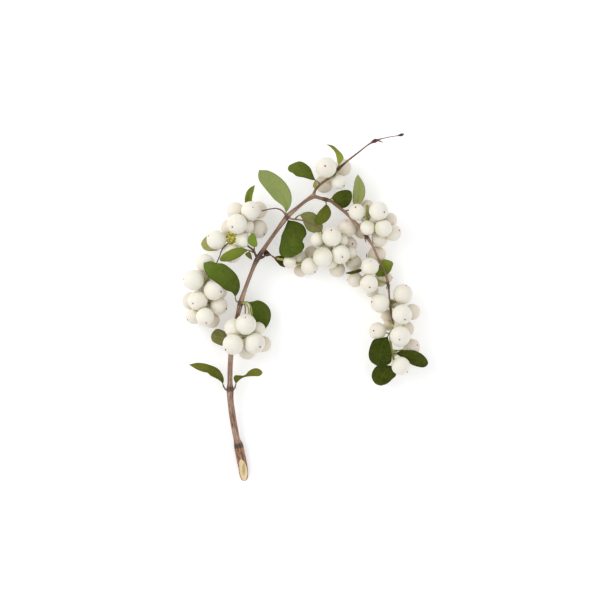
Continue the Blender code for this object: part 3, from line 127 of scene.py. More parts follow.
# Leaves: stalk from the stem to the blade's base as (x, y, z); edges as (x, y) from base to tip,
# left and right as seen from above when looking towards the tip; heights of the midrib at base,
# middle and tip; rise of the left and right edge above the midrib
Leaf = namedtuple("Leaf", "stalk left right tip heights rise")
LEAVES = [
    Leaf([(-52.5, -51.9, 9.8), (-53.0, -50.2, 10.3)],
         [(-54.5, -48.2), (-57.0, -46.5), (-61.0, -44.5), (-63.0, -42.6), (-66.0, -42.0), (-70.0, -40.5),
          (-73.0, -38.7)],
         [(-52.4, -47.0), (-53.5, -43.5), (-56.0, -40.0), (-60.0, -38.0), (-65.0, -36.5), (-70.0, -36.1)],
         (-75.3, -37.3), (10.8, 13.0, 9.0), (-1.5, -1.0)),
    Leaf([(-45.3, -52.4, 9.7), (-44.6, -49.8, 10.4)],
         [(-46.1, -46.6), (-45.3, -44.2), (-42.5, -44.2), (-40.0, -44.4), (-38.2, -43.6), (-36.2, -41.4),
          (-33.5, -39.9), (-31.0, -39.6), (-28.7, -40.5)],
         [(-43.2, -48.2), (-41.4, -46.6), (-39.2, -45.5), (-36.5, -45.0), (-33.0, -44.8), (-29.8, -44.8),
          (-28.0, -43.8)],
         (-27.2, -42.3), (11.0, 12.0, 9.5), (0.6, -0.8)),
    Leaf([(-47.6, -20.0, 12.5), (-50.4, -20.0, 10.6)],
         [(-51.0, -23.0), (-53.0, -25.0), (-57.0, -23.9), (-60.0, -22.0)],
         [(-50.8, -17.0), (-52.5, -15.3), (-57.0, -14.0), (-60.0, -16.5)],
         (-60.9, -19.2), (10.4, 9.0, 8.5), (0.4, 0.4)),
    Leaf([(-41.0, 2.7, 14.2), (-38.6, 3.5, 14.4), (-36.6, 3.4, 14.6)],
         [(-33.4, 3.9), (-30.0, 4.6), (-26.3, 3.1), (-23.3, 0.2), (-21.8, -4.0), (-22.2, -8.2),
          (-23.8, -11.8)],
         [(-35.6, 0.5), (-35.0, -4.0), (-34.0, -9.0), (-32.0, -12.5), (-29.5, -14.6)],
         (-26.5, -15.2), (14.6, 11.0, 7.8), (-0.5, 0.3)),
    Leaf([(-42.0, 2.9, 14.2), (-44.4, 4.2, 15.4), (-44.9, 6.6, 16.6)],
         [(-47.1, 9.7), (-51.1, 11.2), (-56.0, 15.2), (-60.8, 18.7), (-63.8, 22.2), (-65.3, 26.0)],
         [(-42.4, 10.7), (-41.9, 15.7), (-44.1, 21.2), (-48.6, 25.7), (-53.0, 28.4), (-57.0, 28.6),
          (-61.0, 29.9)],
         (-65.3, 28.9), (17.2, 25.5, 23.0), (-1.0, -3.5)),
    Leaf([(-52.6, 39.0, 12.1), (-54.6, 39.6, 10.8)],
         [(-56.2, 37.2), (-59.0, 36.7), (-63.0, 36.7), (-66.0, 38.2)],
         [(-55.0, 43.0), (-58.0, 46.0), (-61.0, 47.0), (-63.5, 46.3), (-66.3, 43.8)],
         (-67.4, 41.0), (10.5, 8.2, 8.0), (0.5, 0.5)),
    Leaf([(-33.4, 35.8, 15.6), (-34.8, 36.5, 17.6), (-36.2, 37.1, 18.8)],
         [(-39.0, 35.0), (-42.0, 32.6), (-46.0, 30.6), (-50.0, 29.7), (-53.7, 29.8)],
         [(-41.0, 38.8), (-46.0, 38.0), (-50.0, 36.3), (-53.5, 33.8)],
         (-55.2, 31.0), (19.4, 23.5, 19.0), (-1.4, -1.0)),
    Leaf([(-32.6, 37.6, 15.6), (-32.6, 39.0, 18.8)],
         [(-35.4, 40.4), (-36.6, 42.6), (-36.3, 45.2), (-34.8, 47.3)],
         [(-30.8, 39.6), (-30.5, 41.5), (-31.0, 43.6), (-31.4, 45.8)],
         (-33.0, 48.2), (20.0, 23.0, 22.5), (-0.5, -0.7)),
    Leaf([(-32.6, 35.5, 15.0), (-34.2, 36.3, 13.5), (-36.0, 36.4, 12.8)],
         [(-34.8, 34.8), (-34.2, 32.6)],
         [(-38.6, 34.6), (-36.6, 32.2)],
         (-34.0, 30.8), (12.6, 12.4, 12.0), (0.0, 0.3)),
    Leaf([(-36.5, 60.5, 11.6), (-36.6, 64.0, 11.0)],
         [(-38.6, 67.5), (-38.7, 71.5), (-37.5, 75.3), (-35.3, 77.8)],
         [(-34.4, 67.0), (-34.2, 70.0), (-33.7, 73.0), (-32.9, 76.0)],
         (-32.2, 79.5), (11.0, 12.0, 13.0), (0.5, 0.8)),
    Leaf([(-11.6, 59.0, 17.0), (-12.1, 61.4, 18.4)],
         [(-14.0, 65.4), (-19.3, 69.6), (-22.2, 73.0), (-26.0, 77.5), (-29.3, 82.0), (-30.1, 86.0)],
         [(-10.8, 62.8), (-9.0, 66.0), (-8.3, 70.0), (-8.9, 74.5), (-11.6, 79.7), (-16.3, 84.6),
          (-23.0, 88.5)],
         (-29.4, 89.1), (19.0, 21.5, 19.0), (1.2, 1.5)),
    Leaf([(-11.2, 57.8, 15.2), (-10.7, 56.6, 14.6)],
         [(-5.5, 55.8), (-1.6, 54.0), (0.4, 51.5), (1.4, 47.5), (-0.6, 44.5), (-1.4, 42.8), (0.0, 40.2),
          (-0.8, 37.5), (-3.2, 35.0)],
         [(-11.6, 54.5), (-13.0, 51.0), (-14.8, 47.0), (-15.5, 43.0), (-16.5, 38.0), (-16.0, 34.5),
          (-13.6, 32.6)],
         (-8.0, 32.3), (14.6, 16.6, 19.5), (-1.2, -0.8)),
    Leaf([(-6.2, 57.2, 17.2), (-4.8, 58.8, 16.2), (-3.2, 60.0, 15.8)],
         [(0.0, 61.7), (4.0, 62.0), (7.5, 60.3), (10.5, 56.5), (12.0, 52.5)],
         [(-1.6, 57.6), (-0.5, 54.4), (1.3, 50.8), (4.0, 49.0), (8.0, 48.2)],
         (11.3, 49.3), (15.6, 14.8, 14.0), (0.3, 0.3)),
    Leaf([(13.6, 69.6, 16.8), (14.1, 67.2, 18.0)],
         [(16.0, 65.0), (17.3, 61.8), (16.6, 58.5), (14.2, 55.6), (11.2, 54.0)],
         [(12.3, 65.3), (9.5, 62.4), (7.4, 59.0), (6.5, 55.5)],
         (8.0, 53.6), (18.2, 18.6, 17.0), (0.6, -0.6)),
    Leaf([(16.6, 69.2, 16.3), (17.4, 70.8, 15.0)],
         [(19.0, 73.2), (22.0, 75.3), (26.0, 76.3), (29.3, 75.9), (30.7, 74.4)],
         [(19.5, 68.5), (22.0, 66.0), (25.2, 64.5), (28.3, 65.9), (30.3, 68.8)],
         (31.0, 71.6), (14.6, 13.0, 14.0), (0.8, -0.8)),
    Leaf([(33.2, 63.4, 11.4), (33.8, 65.2, 11.2)],
         [(31.6, 67.5), (31.3, 71.0), (31.5, 75.0), (32.1, 80.0), (33.0, 83.5)],
         [(36.0, 67.0), (38.0, 69.5), (39.2, 72.5), (39.5, 76.0), (39.0, 79.0), (37.2, 82.8)],
         (34.6, 86.4), (11.2, 12.8, 16.0), (0.4, 0.8)),
    Leaf([(9.6, 79.0, 17.4), (9.2, 80.9, 17.0), (7.2, 82.3, 17.5)],
         [(4.0, 82.8), (0.0, 84.0), (-5.0, 85.0), (-7.5, 87.0), (-10.0, 88.2)],
         [(5.6, 86.0), (4.0, 90.0), (1.0, 93.0), (-3.0, 94.7), (-7.0, 93.6), (-10.0, 92.0)],
         (-10.9, 90.0), (17.6, 20.0, 17.0), (-0.8, -1.2)),
    Leaf([(7.3, 76.4, 17.2), (6.6, 77.3, 18.6)],
         [(5.4, 78.3), (5.7, 80.2)],
         [(8.0, 78.6), (8.5, 80.3)],
         (6.7, 82.1), (18.8, 20.0, 19.6), (0.4, 0.4)),
    Leaf([(22.0, 90.3, 18.8), (22.2, 92.0, 19.6)],
         [(21.4, 94.4), (20.8, 97.0), (19.8, 100.3), (17.2, 103.4)],
         [(24.4, 94.6), (25.4, 96.8), (24.2, 99.5), (21.6, 102.2), (18.4, 104.8)],
         (14.2, 105.6), (19.8, 22.0, 21.0), (0.8, -0.8)),
    Leaf([(48.4, 30.6, 13.4), (50.0, 30.2, 11.6)],
         [(52.0, 31.2), (55.0, 30.6), (57.6, 29.0), (57.0, 26.0), (55.8, 23.2)],
         [(48.6, 27.5), (46.8, 24.5), (45.9, 21.8), (48.5, 20.0)],
         (52.5, 20.2), (11.2, 10.4, 10.3), (0.3, 0.3)),
    Leaf([(40.3, 21.6, 12.6), (38.6, 23.4, 14.6), (37.2, 24.0, 15.4)],
         [(36.0, 22.7), (33.0, 21.9), (30.0, 21.4)],
         [(36.0, 25.0), (33.5, 24.3), (30.0, 23.4)],
         (26.3, 22.2), (15.6, 17.6, 17.0), (-1.8, 1.8)),
    Leaf([(56.0, -16.0, 13.0), (54.6, -17.8, 16.0), (54.0, -19.0, 17.2)],
         [(54.8, -22.0), (56.0, -27.0), (56.6, -32.0), (56.0, -35.8), (52.5, -37.8)],
         [(51.0, -19.5), (47.5, -20.2), (44.8, -20.9), (43.0, -24.0), (41.7, -28.5), (41.7, -32.2),
          (43.2, -35.4)],
         (47.5, -38.3), (17.6, 20.5, 17.6), (-1.0, -1.2)),
    Leaf([(57.8, -35.0, 12.6), (56.8, -38.0, 12.4)],
         [(58.4, -40.5), (59.6, -44.0), (57.0, -46.8), (53.8, -49.7)],
         [(52.0, -37.6), (47.0, -38.2), (44.2, -41.8), (43.8, -46.0), (46.2, -49.8)],
         (49.8, -51.1), (12.2, 11.0, 6.5), (0.4, -0.6)),
    Leaf([(57.3, -30.2, 12.8), (59.4, -30.2, 13.8)],
         [(62.0, -28.2), (66.0, -27.7), (71.0, -28.0), (75.0, -29.5), (78.2, -32.0), (80.0, -34.6)],
         [(62.3, -32.0), (65.6, -34.0), (69.2, -37.0), (73.0, -38.5), (76.8, -39.1), (79.3, -38.2)],
         (80.4, -36.4), (14.2, 15.0, 11.0), (-0.6, -0.6)),
    Leaf([(-20.8, 33.2, 15.5), (-20.0, 32.3, 13.8)],
         [(-17.5, 33.4), (-14.0, 33.3), (-11.5, 31.0), (-10.8, 28.5)],
         [(-19.0, 30.6), (-17.3, 28.6), (-15.6, 26.9)],
         (-12.8, 25.9), (13.4, 10.8, 8.0), (0.2, 0.2)),
    Leaf([(-27.8, 32.6, 15.0), (-26.6, 33.2, 13.4)],
         [(-26.4, 35.4), (-25.5, 37.4), (-24.2, 37.0)],
         [(-24.6, 33.0), (-23.0, 33.4)],
         (-21.6, 34.2), (13.2, 13.0, 13.2), (-0.3, 0.3)),
]
ROW_SPACING = 3.0             # about how far the cross rows of a blade lie apart
FEWEST_ROWS = 4
MOST_ROWS = 10
EDGE_POINTS = 41              # points read along each edge, of which the rows use some
BASE_SHARE = 0.12             # where the first cross row lies, as a share of the cosine spacing
TIP_WIDTH = 0.8
CURVE_PIECES = 12             # straight pieces between two given points of a smooth edge

# Berries: height of a berry's middle at the start, before neighbours push it up or down
FRONT = 20.5
MIDDLE = 14.5
BACK = 8.0

# Bunches: routes of the green rachis as (x, y, z); berries as (x, y, diameter, layer, (x, y) of
# the calyx where it faces up); how many more berries fill the underside
Bunch = namedtuple("Bunch", "routes berries hidden")
BUNCHES = {
    "a": Bunch(
        [[(-42.0, 43.5, 12.0), (-43.0, 48.0, 12.5), (-43.5, 54.0, 13.0), (-41.0, 59.5, 12.5),
          (-35.5, 61.5, 12.0)],
         [(-43.0, 48.0, 12.5), (-50.0, 46.0, 12.5), (-54.0, 44.5, 13.0)]],
        [(-44.6, 62.3, 12.0, MIDDLE, None), (-35.0, 62.6, 12.4, FRONT, (-33.3, 64.8)),
         (-29.8, 63.3, 11.2, BACK, None), (-43.7, 54.0, 13.2, FRONT, (-46.9, 51.8)),
         (-49.0, 51.7, 10.8, BACK, None), (-57.2, 43.7, 12.5, MIDDLE, (-62.3, 46.4)),
         (-40.1, 43.7, 10.2, FRONT, None), (-30.1, 51.0, 12.4, MIDDLE, (-25.9, 47.4)),
         (-47.0, 35.0, 12.0, MIDDLE, (-45.7, 28.9)), (-37.3, 52.5, 9.0, MIDDLE, None)],
        4),
    "b": Bunch(
        [[(-57.2, 28.6, 13.6), (-61.0, 22.0, 13.5), (-64.5, 14.0, 13.0), (-65.0, 4.0, 12.5),
          (-65.5, -4.0, 12.0)]],
        [(-64.5, 28.5, 12.4, MIDDLE, None), (-72.0, 17.8, 13.4, FRONT, (-78.6, 18.3)),
         (-66.0, 20.0, 12.0, BACK, None), (-58.8, 11.2, 13.5, FRONT, (-53.7, 10.0)),
         (-55.5, 10.5, 10.5, BACK, None), (-69.2, 4.4, 12.8, FRONT, (-72.4, 2.4)),
         (-74.0, 4.2, 11.5, BACK, None), (-55.9, 1.0, 12.0, MIDDLE, (-50.5, -1.0)),
         (-64.4, -6.1, 11.6, FRONT, (-63.5, -10.3)), (-72.0, -6.0, 10.0, MIDDLE, (-76.0, -8.2)),
         (-60.3, -8.5, 10.5, BACK, None), (-65.8, 12.5, 9.5, MIDDLE, None)],
        4),
    "c": Bunch(
        [[(-38.5, -4.2, 15.3), (-38.8, -12.0, 14.0), (-38.5, -20.0, 13.0), (-36.0, -25.0, 12.5)]],
        [(-46.2, -13.1, 12.0, MIDDLE, None), (-38.0, -11.0, 13.6, FRONT, (-38.3, -6.3)),
         (-46.2, -24.0, 13.6, FRONT, (-51.3, -27.6)), (-32.4, -23.2, 13.6, FRONT, (-28.5, -25.7)),
         (-27.0, -24.0, 10.7, BACK, None), (-30.2, -14.1, 9.2, MIDDLE, None),
         (-37.3, -28.4, 11.6, BACK, None), (-40.8, -18.2, 8.4, MIDDLE, None)],
        3),
    "d": Bunch(
        [[(21.6, 88.6, 17.0), (18.5, 85.5, 15.0), (15.0, 83.0, 14.4)]],
        [(13.9, 90.6, 13.6, FRONT, (13.3, 91.4)), (24.8, 91.0, 11.2, BACK, None),
         (22.3, 81.3, 9.6, MIDDLE, (25.8, 78.6)), (12.7, 80.2, 11.8, BACK, None),
         (18.4, 85.2, 8.0, MIDDLE, None)],
        1),
    "e": Bunch(
        [[(40.8, 49.6, 14.2), (41.0, 53.0, 14.0), (41.3, 59.0, 14.0), (44.5, 62.5, 14.0),
          (49.5, 61.0, 13.5), (53.0, 57.0, 13.0)],
         [(41.0, 53.0, 14.0), (47.0, 52.0, 13.5), (53.0, 50.0, 13.0)]],
        [(33.9, 61.8, 10.8, FRONT, (33.0, 65.0)), (41.0, 65.3, 9.5, BACK, None),
         (48.0, 62.3, 12.5, FRONT, (51.8, 61.5)), (55.6, 56.8, 9.6, MIDDLE, None),
         (57.5, 48.3, 10.6, MIDDLE, (61.6, 50.0)), (51.0, 51.2, 11.0, FRONT, None),
         (40.9, 51.7, 10.0, FRONT, None), (49.0, 44.4, 10.8, BACK, None),
         (37.8, 50.0, 10.8, BACK, None), (40.6, 58.6, 8.6, MIDDLE, None), (46.0, 56.0, 8.0, MIDDLE, None)],
        3),
    "f": Bunch(
        [[(11.4, 48.4, 18.2), (14.5, 43.0, 15.0), (17.0, 39.0, 13.5), (19.5, 34.0, 13.0),
          (21.5, 27.0, 13.0)],
         [(14.5, 43.0, 15.0), (9.0, 37.0, 13.5), (3.0, 30.5, 12.5), (-5.0, 28.5, 12.5),
          (-11.5, 30.4, 14.0), (-17.6, 31.6, 15.2)],
         [(17.0, 39.0, 13.5), (23.0, 43.0, 13.5), (27.5, 47.0, 13.5)],
         [(19.5, 34.0, 13.0), (25.5, 33.0, 13.0), (30.0, 31.0, 13.0)]],
        [(17.7, 45.7, 12.8, FRONT, (17.3, 50.1)), (27.7, 51.5, 12.0, BACK, (27.5, 56.2)),
         (8.3, 43.9, 9.6, MIDDLE, None), (29.0, 40.8, 10.6, MIDDLE, (31.5, 41.3)),
         (11.9, 32.5, 12.8, FRONT, None), (23.4, 34.4, 12.4, FRONT, (24.5, 32.4)),
         (21.3, 24.6, 10.4, MIDDLE, None), (32.0, 29.0, 10.8, MIDDLE, None),
         (4.6, 35.2, 9.6, BACK, None), (3.3, 26.5, 11.3, MIDDLE, (6.9, 22.8)),
         (-2.5, 24.1, 9.0, BACK, None), (-9.7, 29.5, 8.4, MIDDLE, None),
         (-3.8, 32.5, 10.0, MIDDLE, (-6.0, 29.0)), (13.8, 39.5, 8.6, MIDDLE, None),
         (24.2, 43.4, 8.6, MIDDLE, None), (17.3, 29.4, 8.6, MIDDLE, None), (30.2, 35.4, 7.6, MIDDLE, None)],
        3),
    "g": Bunch(
        [[(54.0, 15.4, 12.8), (50.0, 16.5, 12.0), (45.5, 18.5, 12.0), (41.0, 21.0, 12.0),
          (37.0, 18.6, 11.5)],
         [(41.0, 21.0, 12.0), (43.0, 27.0, 11.0), (45.5, 32.0, 9.0)]],
        [(47.2, 34.1, 11.8, BACK, None), (42.4, 26.4, 11.6, FRONT, (43.0, 30.0)),
         (41.8, 15.2, 11.8, FRONT, (42.2, 12.8)), (43.8, 10.9, 9.2, BACK, None),
         (32.9, 17.8, 9.8, MIDDLE, (28.0, 17.9)), (49.4, 17.8, 8.8, BACK, None),
         (53.6, 19.3, 7.6, BACK, (57.2, 19.3))],
        3),
    "h": Bunch(
        [[(55.8, 5.0, 10.4), (56.3, -3.0, 10.2), (57.6, -9.0, 10.4), (57.0, -14.0, 12.0),
          (55.8, -20.0, 13.0), (56.4, -26.0, 13.0), (57.4, -31.0, 13.2), (58.4, -36.0, 13.4)]],
        [(49.0, 2.8, 12.6, MIDDLE, (43.4, 3.6)), (63.9, 8.6, 12.6, MIDDLE, (66.0, 14.2)),
         (63.2, -4.7, 13.0, FRONT, (65.2, -8.2)), (70.2, -3.0, 10.6, BACK, None),
         (62.0, -18.8, 13.5, FRONT, (61.5, -21.0)), (66.2, -14.0, 10.3, BACK, None),
         (47.4, -15.5, 11.4, MIDDLE, (44.7, -15.2)), (54.0, -5.6, 8.6, BACK, None),
         (69.7, -26.0, 10.8, BACK, (73.4, -24.5)), (62.4, -38.0, 12.0, FRONT, (66.8, -42.0)),
         (54.6, -11.8, 7.0, BACK, None), (60.0, -11.6, 7.6, BACK, None), (59.2, 2.4, 7.0, BACK, None),
         (58.4, -29.6, 5.0, BACK, None)],
        3),
}
RACHIS_THICK = 2.6
PRESS = 0.2                   # how far two berries of one bunch press into each other
BUNCH_SPACE = 0.6             # room kept between berries of two bunches
WOOD_SPACE = 0.5              # room kept between a berry and the wood
LEAF_SPACE = 1.0              # room kept between a berry and a leaf's middle layer
SETTLE_ROUNDS = 160
NEARBY = 9.0                  # wood and leaves further away than this do not push a berry
BERRY_PUSH = 0.4              # share of an overlap of two berries that one round takes away
OTHER_PUSH = 0.15             # the same for a berry against wood or leaves
LEAST_RISE = 0.3              # a push always moves a berry up or down by this share
HIDDEN_SIZE = (8.5, 10.5)
HIDDEN_SEED = 7
HIDDEN_TRIES = 4000
HIDDEN_SPREAD = 8.0           # how far to each side of a seen berry a place is tried
HIDDEN_DEPTH = 7.0            # how high above the surface it is tried
HIDDEN_REACH = 30.0           # wood and leaves further from the bunch are left out of the trial
RIM_POINTS = 10               # points round a berry that must all be hidden from above
HIDDEN_PRESS = 1.2            # how far an underside berry may press into a neighbour
COVER_SLACK = 0.4             # an underside berry stays this far inside what covers it
TALLEST = 31.0                # no berry reaches above this
UNDERSIDE_UP = {3, 6, 9, 11, 13, 16, 18}   # leaves that show their pale underside to the sky

# Finer than the solids
WOOD_STEP = 0.8               # spacing of the rings along the wood
WOOD_SIDES = 20
STALK_RINGS = 1.5             # spacing of the rings along green stalks
GREEN_SIDES = 10
RACHIS_SHARE = 0.62           # real thickness of a rachis, as a share of the solid's
TWIG_TAPER = 0.35             # how much thinner a side twig is at its free end than the solid
PEDICEL_FINE = 0.9            # diameter of a short stalk that carries one berry
CAP_RINGS = ((0.18, 0.86), (0.32, 0.5))    # a round end: (how far out, how thick), shares of its width
BARK_DEPTH = 0.09             # how far the ridges of the bark stand out
BARK_ROUGH = (2.6, 6.0)       # ridges of the bark: how many lie round the stem, how long they are
STALK_DEPTH = 0.06            # the same three for green stalks
STALK_ROUGH = (1.6, 4.0)
FULL_RIDGE = 1.6              # ridges grow with the stem's radius up to this radius
KNOT_REACH = 2.2              # how far the dark bark of a knot reaches along the stem
KNOT_SWELL = 1.12             # a route point this much thicker than its neighbours is a knot
OLD_WOOD = 2.2                # a knot with a larger radius has lost its scales
BARK_RIM = 0.34               # thickness of the bark round the slanted cut
CUT_SINK = 0.12               # how far the bare wood lies behind it
BERRY_RINGS = 28
BERRY_SEGMENTS = 36
STALK_PINCH = (0.045, 0.32)   # dent at a berry's stalk: depth, and width as an angle
CALYX_DIMPLE = (0.07, 0.2)    # dent round its calyx
BERRY_LUMPS = (0.60, 4.0)     # unevenness of a berry's skin: height and width of its lumps
CALYX_LUMPS = (0.12, 0.5)
BUD_LUMPS = (0.2, 1.0)
YOUNG_TIP_LUMPS = (0.05, 0.5)
SCALE_LUMPS = (0.1, 0.6)
STRETCH_STEP = 1.7            # angles that differ from berry to berry, for its length and its turn
TURN_STEP = 2.4
BERRY_STRETCH = 0.04          # how far a berry may be longer or shorter than round
TIP_SIZE = 0.52               # radius of the dry calyx on a berry
TIP_PLACE = 0.955             # how far from the berry's middle it sits, as a share of the radius
YOUNG_TIP = 0.34              # and on a bud that never opened
YOUNG_TIP_PLACE = 1.15
YOUNG_STRETCH = 1.25          # such a bud is this much longer than wide
CALYX_TEETH = 5
TOOTH_FOOT = (0.75, -0.3)     # a tooth's distance from the axis and its height, for a calyx of radius 1
TOOTH_TIP = (0.35, 0.95)
TOOTH_WIDTH = 0.42
TOOTH_FLATNESS = 0.4
STUMP = [(0, -0.5), (0.7, -0.45), (0.85, 0.0), (0.6, 0.35), (0, 0.4)]    # (radius, height) in the calyx
STUMP_SIDES = 10
SPIKE_FOOT = 0.8              # width of a spike at its foot, as a share of its widest place
SPIKE_BELLY = 0.45            # where its widest place lies, as a share of its length
SPIKE_FLATNESS = 0.8
SCALE_ENDS = (-0.5, 1.3)      # foot and tip of a bud scale of size 1
SCALE_WIDTH = 0.55
SCALE_FLATNESS = 0.45
SCALE_LEANS = (1.4, 0.8)      # how far the two pairs of scales lean along the stem
SCALE_OUT = 0.6               # how far they lean away from it, and up
SCALE_UP = 0.15
SCALE_SEAT = 0.66             # how far from the stem's middle they sit, as a share of its radius
SCALE_START = 0.7             # how far along the stem the first one sits, and how much less each next
SCALE_STEP = 0.2
SCALE_SIZE = (0.5, 0.2)       # size of a scale: the least, and what the stem's radius adds
SCALE_TURN = 1.3
BUD_SPIN = 2.1                # angle between the directions of two young buds
BUD_RISE = 1.2                # how steeply they point up
BUD_TURN = 1.1
FOOT_DEPTH = 0.9              # a short stalk ends this far from the berry's middle, as a share
STALK_SWELL = 1.3             # and is this much thicker there
BLADE_ROWS = 30
BLADE_COLUMNS = 16
FINE_EDGE_POINTS = 161
FINE_THICKNESS = 0.34
RIB_GROOVE = 0.12             # how deep the midrib lies in the upper side
QUILT = 0.10                  # how far the blade rises between two side veins
EDGE_WAVE = 0.28
WAVE_COUNT = 2.6              # waves along the edge, their shift from leaf to leaf and across a leaf
WAVE_SHIFT = 0.37
WAVE_LEAN = 0.3
EDGE_CURL = 1.2               # above 1, the blade rises more steeply towards its edge
GROOVE_WIDTH = 0.14
VEIN_SPACING = 4.2
FEWEST_VEINS = 3
VEIN_SWEEP = 0.24             # how far a side vein runs towards the tip, as a share of the length
PETIOLE = (1.15, 0.70, 0.22)  # diameter of a leaf's stalk at the wood, at the blade, at the tip
CREASE_SHADE_REACH = 2.0            # painted shade: a berry is darkened where another one is this near
BOX_MARGIN = 0.02             # every piece stays this far inside the solids' box
RIB_SIDES = 8
RIB_SINK = 0.95               # how far the midrib's tube lies below the blade, as a share of its radius
PAINTED_SHADE_TOP = 17.0               # berries lower than this get painted shade, darker the lower they lie
LONE_SHADE = 1.6               # painted shade of a low berry without neighbours, and what each neighbour takes off
COMPANY_SHADE = 0.25
TOUCH_GAP = 1.0               # berries nearer than this are neighbours
FLAT_CALYX = 0.5              # a berry this near over its stalk's foot points its calyx to the side

# How each leaf looks: brightness, how much brighter its tip is than its base, how olive it is and
# how brown, all from 0 to 1
LEAF_LOOKS = [
    (0.22, 0.22, 0.50, 0.30), (0.29, 0.35, 0.70, 0.15), (0.04, 0.10, 0.45, 0.10), (0.19, -0.05, 0.05, 0.30),
    (0.24, 0.33, 0.00, 0.15), (0.74, 0.20, 0.45, 0.20), (0.50, 0.00, 0.25, 0.10), (0.64, 0.00, 0.00, 0.05),
    (0.05, 0.00, 0.85, 0.35), (0.50, 0.10, 0.25, 0.10), (0.54, -0.15, 0.05, 0.10), (0.17, 0.12, 0.00, 0.35),
    (0.25, 0.35, 0.35, 0.30), (0.23, 0.15, 0.35, 0.10), (0.14, -0.08, 0.20, 0.30), (0.72, 0.00, 0.20, 0.10),
    (0.24, 0.12, 0.15, 0.30), (0.50, 0.00, 0.60, 0.10), (0.70, -0.70, 0.35, 0.60), (0.52, -0.30, 0.20, 0.10),
    (0.06, 0.08, 1.00, 0.60), (0.03, 0.00, 0.00, 0.30), (0.05, 0.05, 0.20, 0.45), (0.05, 0.05, 0.30, 0.65),
    # The last row, a small bract at the node behind bunch A, is made almost black-brown; this darkness is
    # painted shade.
    (0.04, 0.00, 1.00, 0.50), (-0.08, 0.00, 1.00, 1.00),
]
CALYX_DROP = -0.35            # a berry whose calyx the photo hides points it this far down

# Colours, linear red, green and blue
BERRY_WHITE = (0.84, 0.82, 0.76)
BERRY_CREAM = (0.82, 0.78, 0.65)
BERRY_GREEN = (0.62, 0.62, 0.40)
BERRY_BLUSH = (0.80, 0.60, 0.58)
# painted shade between berries that press together
BERRY_CREASE_SHADE = (0.78, 0.70, 0.47)
# painted shade on low berries at a bunch's outside
BERRY_PAINTED_SHADE = (0.68, 0.56, 0.42)
BERRY_SPECK = (0.40, 0.31, 0.20)
BARK_RED = (0.115, 0.045, 0.034)
BARK_BROWN = (0.19, 0.10, 0.062)
BARK_TAN = (0.62, 0.42, 0.30)
BARK_GREY = (0.36, 0.25, 0.18)
BARK_OLIVE = (0.17, 0.12, 0.035)
BARK_PALE = (0.54, 0.37, 0.26)
BARK_ROSE = (0.21, 0.055, 0.055)
BARK_ORANGE = (0.52, 0.27, 0.13)
# dark bark of knots and dots, also used as painted shade on the wood
BARK_DARK_AND_SHADE = (0.035, 0.020, 0.014)
WOOD_CREAM = (0.85, 0.68, 0.42)
WOOD_YELLOW = (0.74, 0.55, 0.30)
WOOD_PITH = (0.42, 0.33, 0.14)
LEAF_DARK = (0.029, 0.042, 0.001)
LEAF_BRIGHT = (0.25, 0.36, 0.045)
LEAF_OLIVE = (1.6, 1.0, 1.1)
LEAF_VEIN = (0.18, 0.25, 0.06)
LEAF_BROWN = (0.07, 0.035, 0.015)
UNDER_DARK = (0.125, 0.155, 0.040)
UNDER_BRIGHT = (0.33, 0.41, 0.135)
UNDER_VEIN = (0.46, 0.50, 0.26)
STALK_GREEN = (0.24, 0.27, 0.07)
STALK_RED = (0.21, 0.085, 0.055)
RACHIS_GREEN = (0.42, 0.44, 0.11)
RACHIS_OLIVE = (0.24, 0.22, 0.05)
BUD_GREEN = (0.40, 0.38, 0.05)
BUD_YELLOW = (0.75, 0.66, 0.16)
CALYX_DARK = (0.035, 0.024, 0.018)
CALYX_BROWN = (0.15, 0.095, 0.06)
SCALE_DARK = (0.030, 0.018, 0.012)
SCALE_BROWN = (0.12, 0.06, 0.035)
FLOOR_WHITE = (0.80, 0.80, 0.80)
FLOOR_GLOW = 0.30             # the floor's own light, which keeps shadows on it faint
AIR_COLOUR = (0.98, 0.99, 1.0)

CUT_MIDDLE_X = -39.6
COLLAR_Y = -90.5              # below this ring the old bark is more orange
PITH_LENGTH = 8.0
PITH_WIDTH = 2.0

# Dry spikes and stubs: start, end, width
SPIKES = [
    ((40.3, 32.3, 20.5), (40.4, 35.8, 22.0), 0.7),
    ((53.2, 12.0, 14.5), (53.3, 14.0, 15.5), 0.6),
    ((54.6, 12.0, 14.5), (54.8, 14.0, 15.5), 0.6),
]

# Places where the bark has another tone: (x, y, reach)
OLIVE_BARK = [(18.5, 67.0, 6.0), (51.0, 26.0, 5.5), (8.0, 77.5, 4.5), (24.0, 91.5, 3.0)]
ROSY_BARK = [(33.0, 98.5, 6.0), (40.0, 104.0, 5.0), (48.0, 108.5, 5.0), (61.0, 111.5, 4.0)]
PALE_BARK = [
    (34.0, 54.5, 9.0), (46.0, 36.0, 9.0), (54.0, 14.0, 8.0), (-39.0, 9.0, 6.0), (-10.0, 60.5, 4.0),
]
# The first two spots, at the node behind bunch A, are painted shade; the others are dark bark at knots and at
# stalk ends.
DARK_SPOTS_AND_SHADE = [
    (-29.8, 32.6, 7.0), (-24.0, 34.0, 3.5), (45.5, 107.7, 2.2), (25.0, 92.4, 2.6), (-27.5, 62.5, 1.6),
    (-56.0, 31.0, 4.0),
]
# The tints of the first three: attribute, colour, how strong it is at most
BARK_TINTS = [("pale", BARK_PALE, 0.5), ("olive", BARK_OLIVE, 0.75), ("rosy", BARK_ROSE, 0.8)]

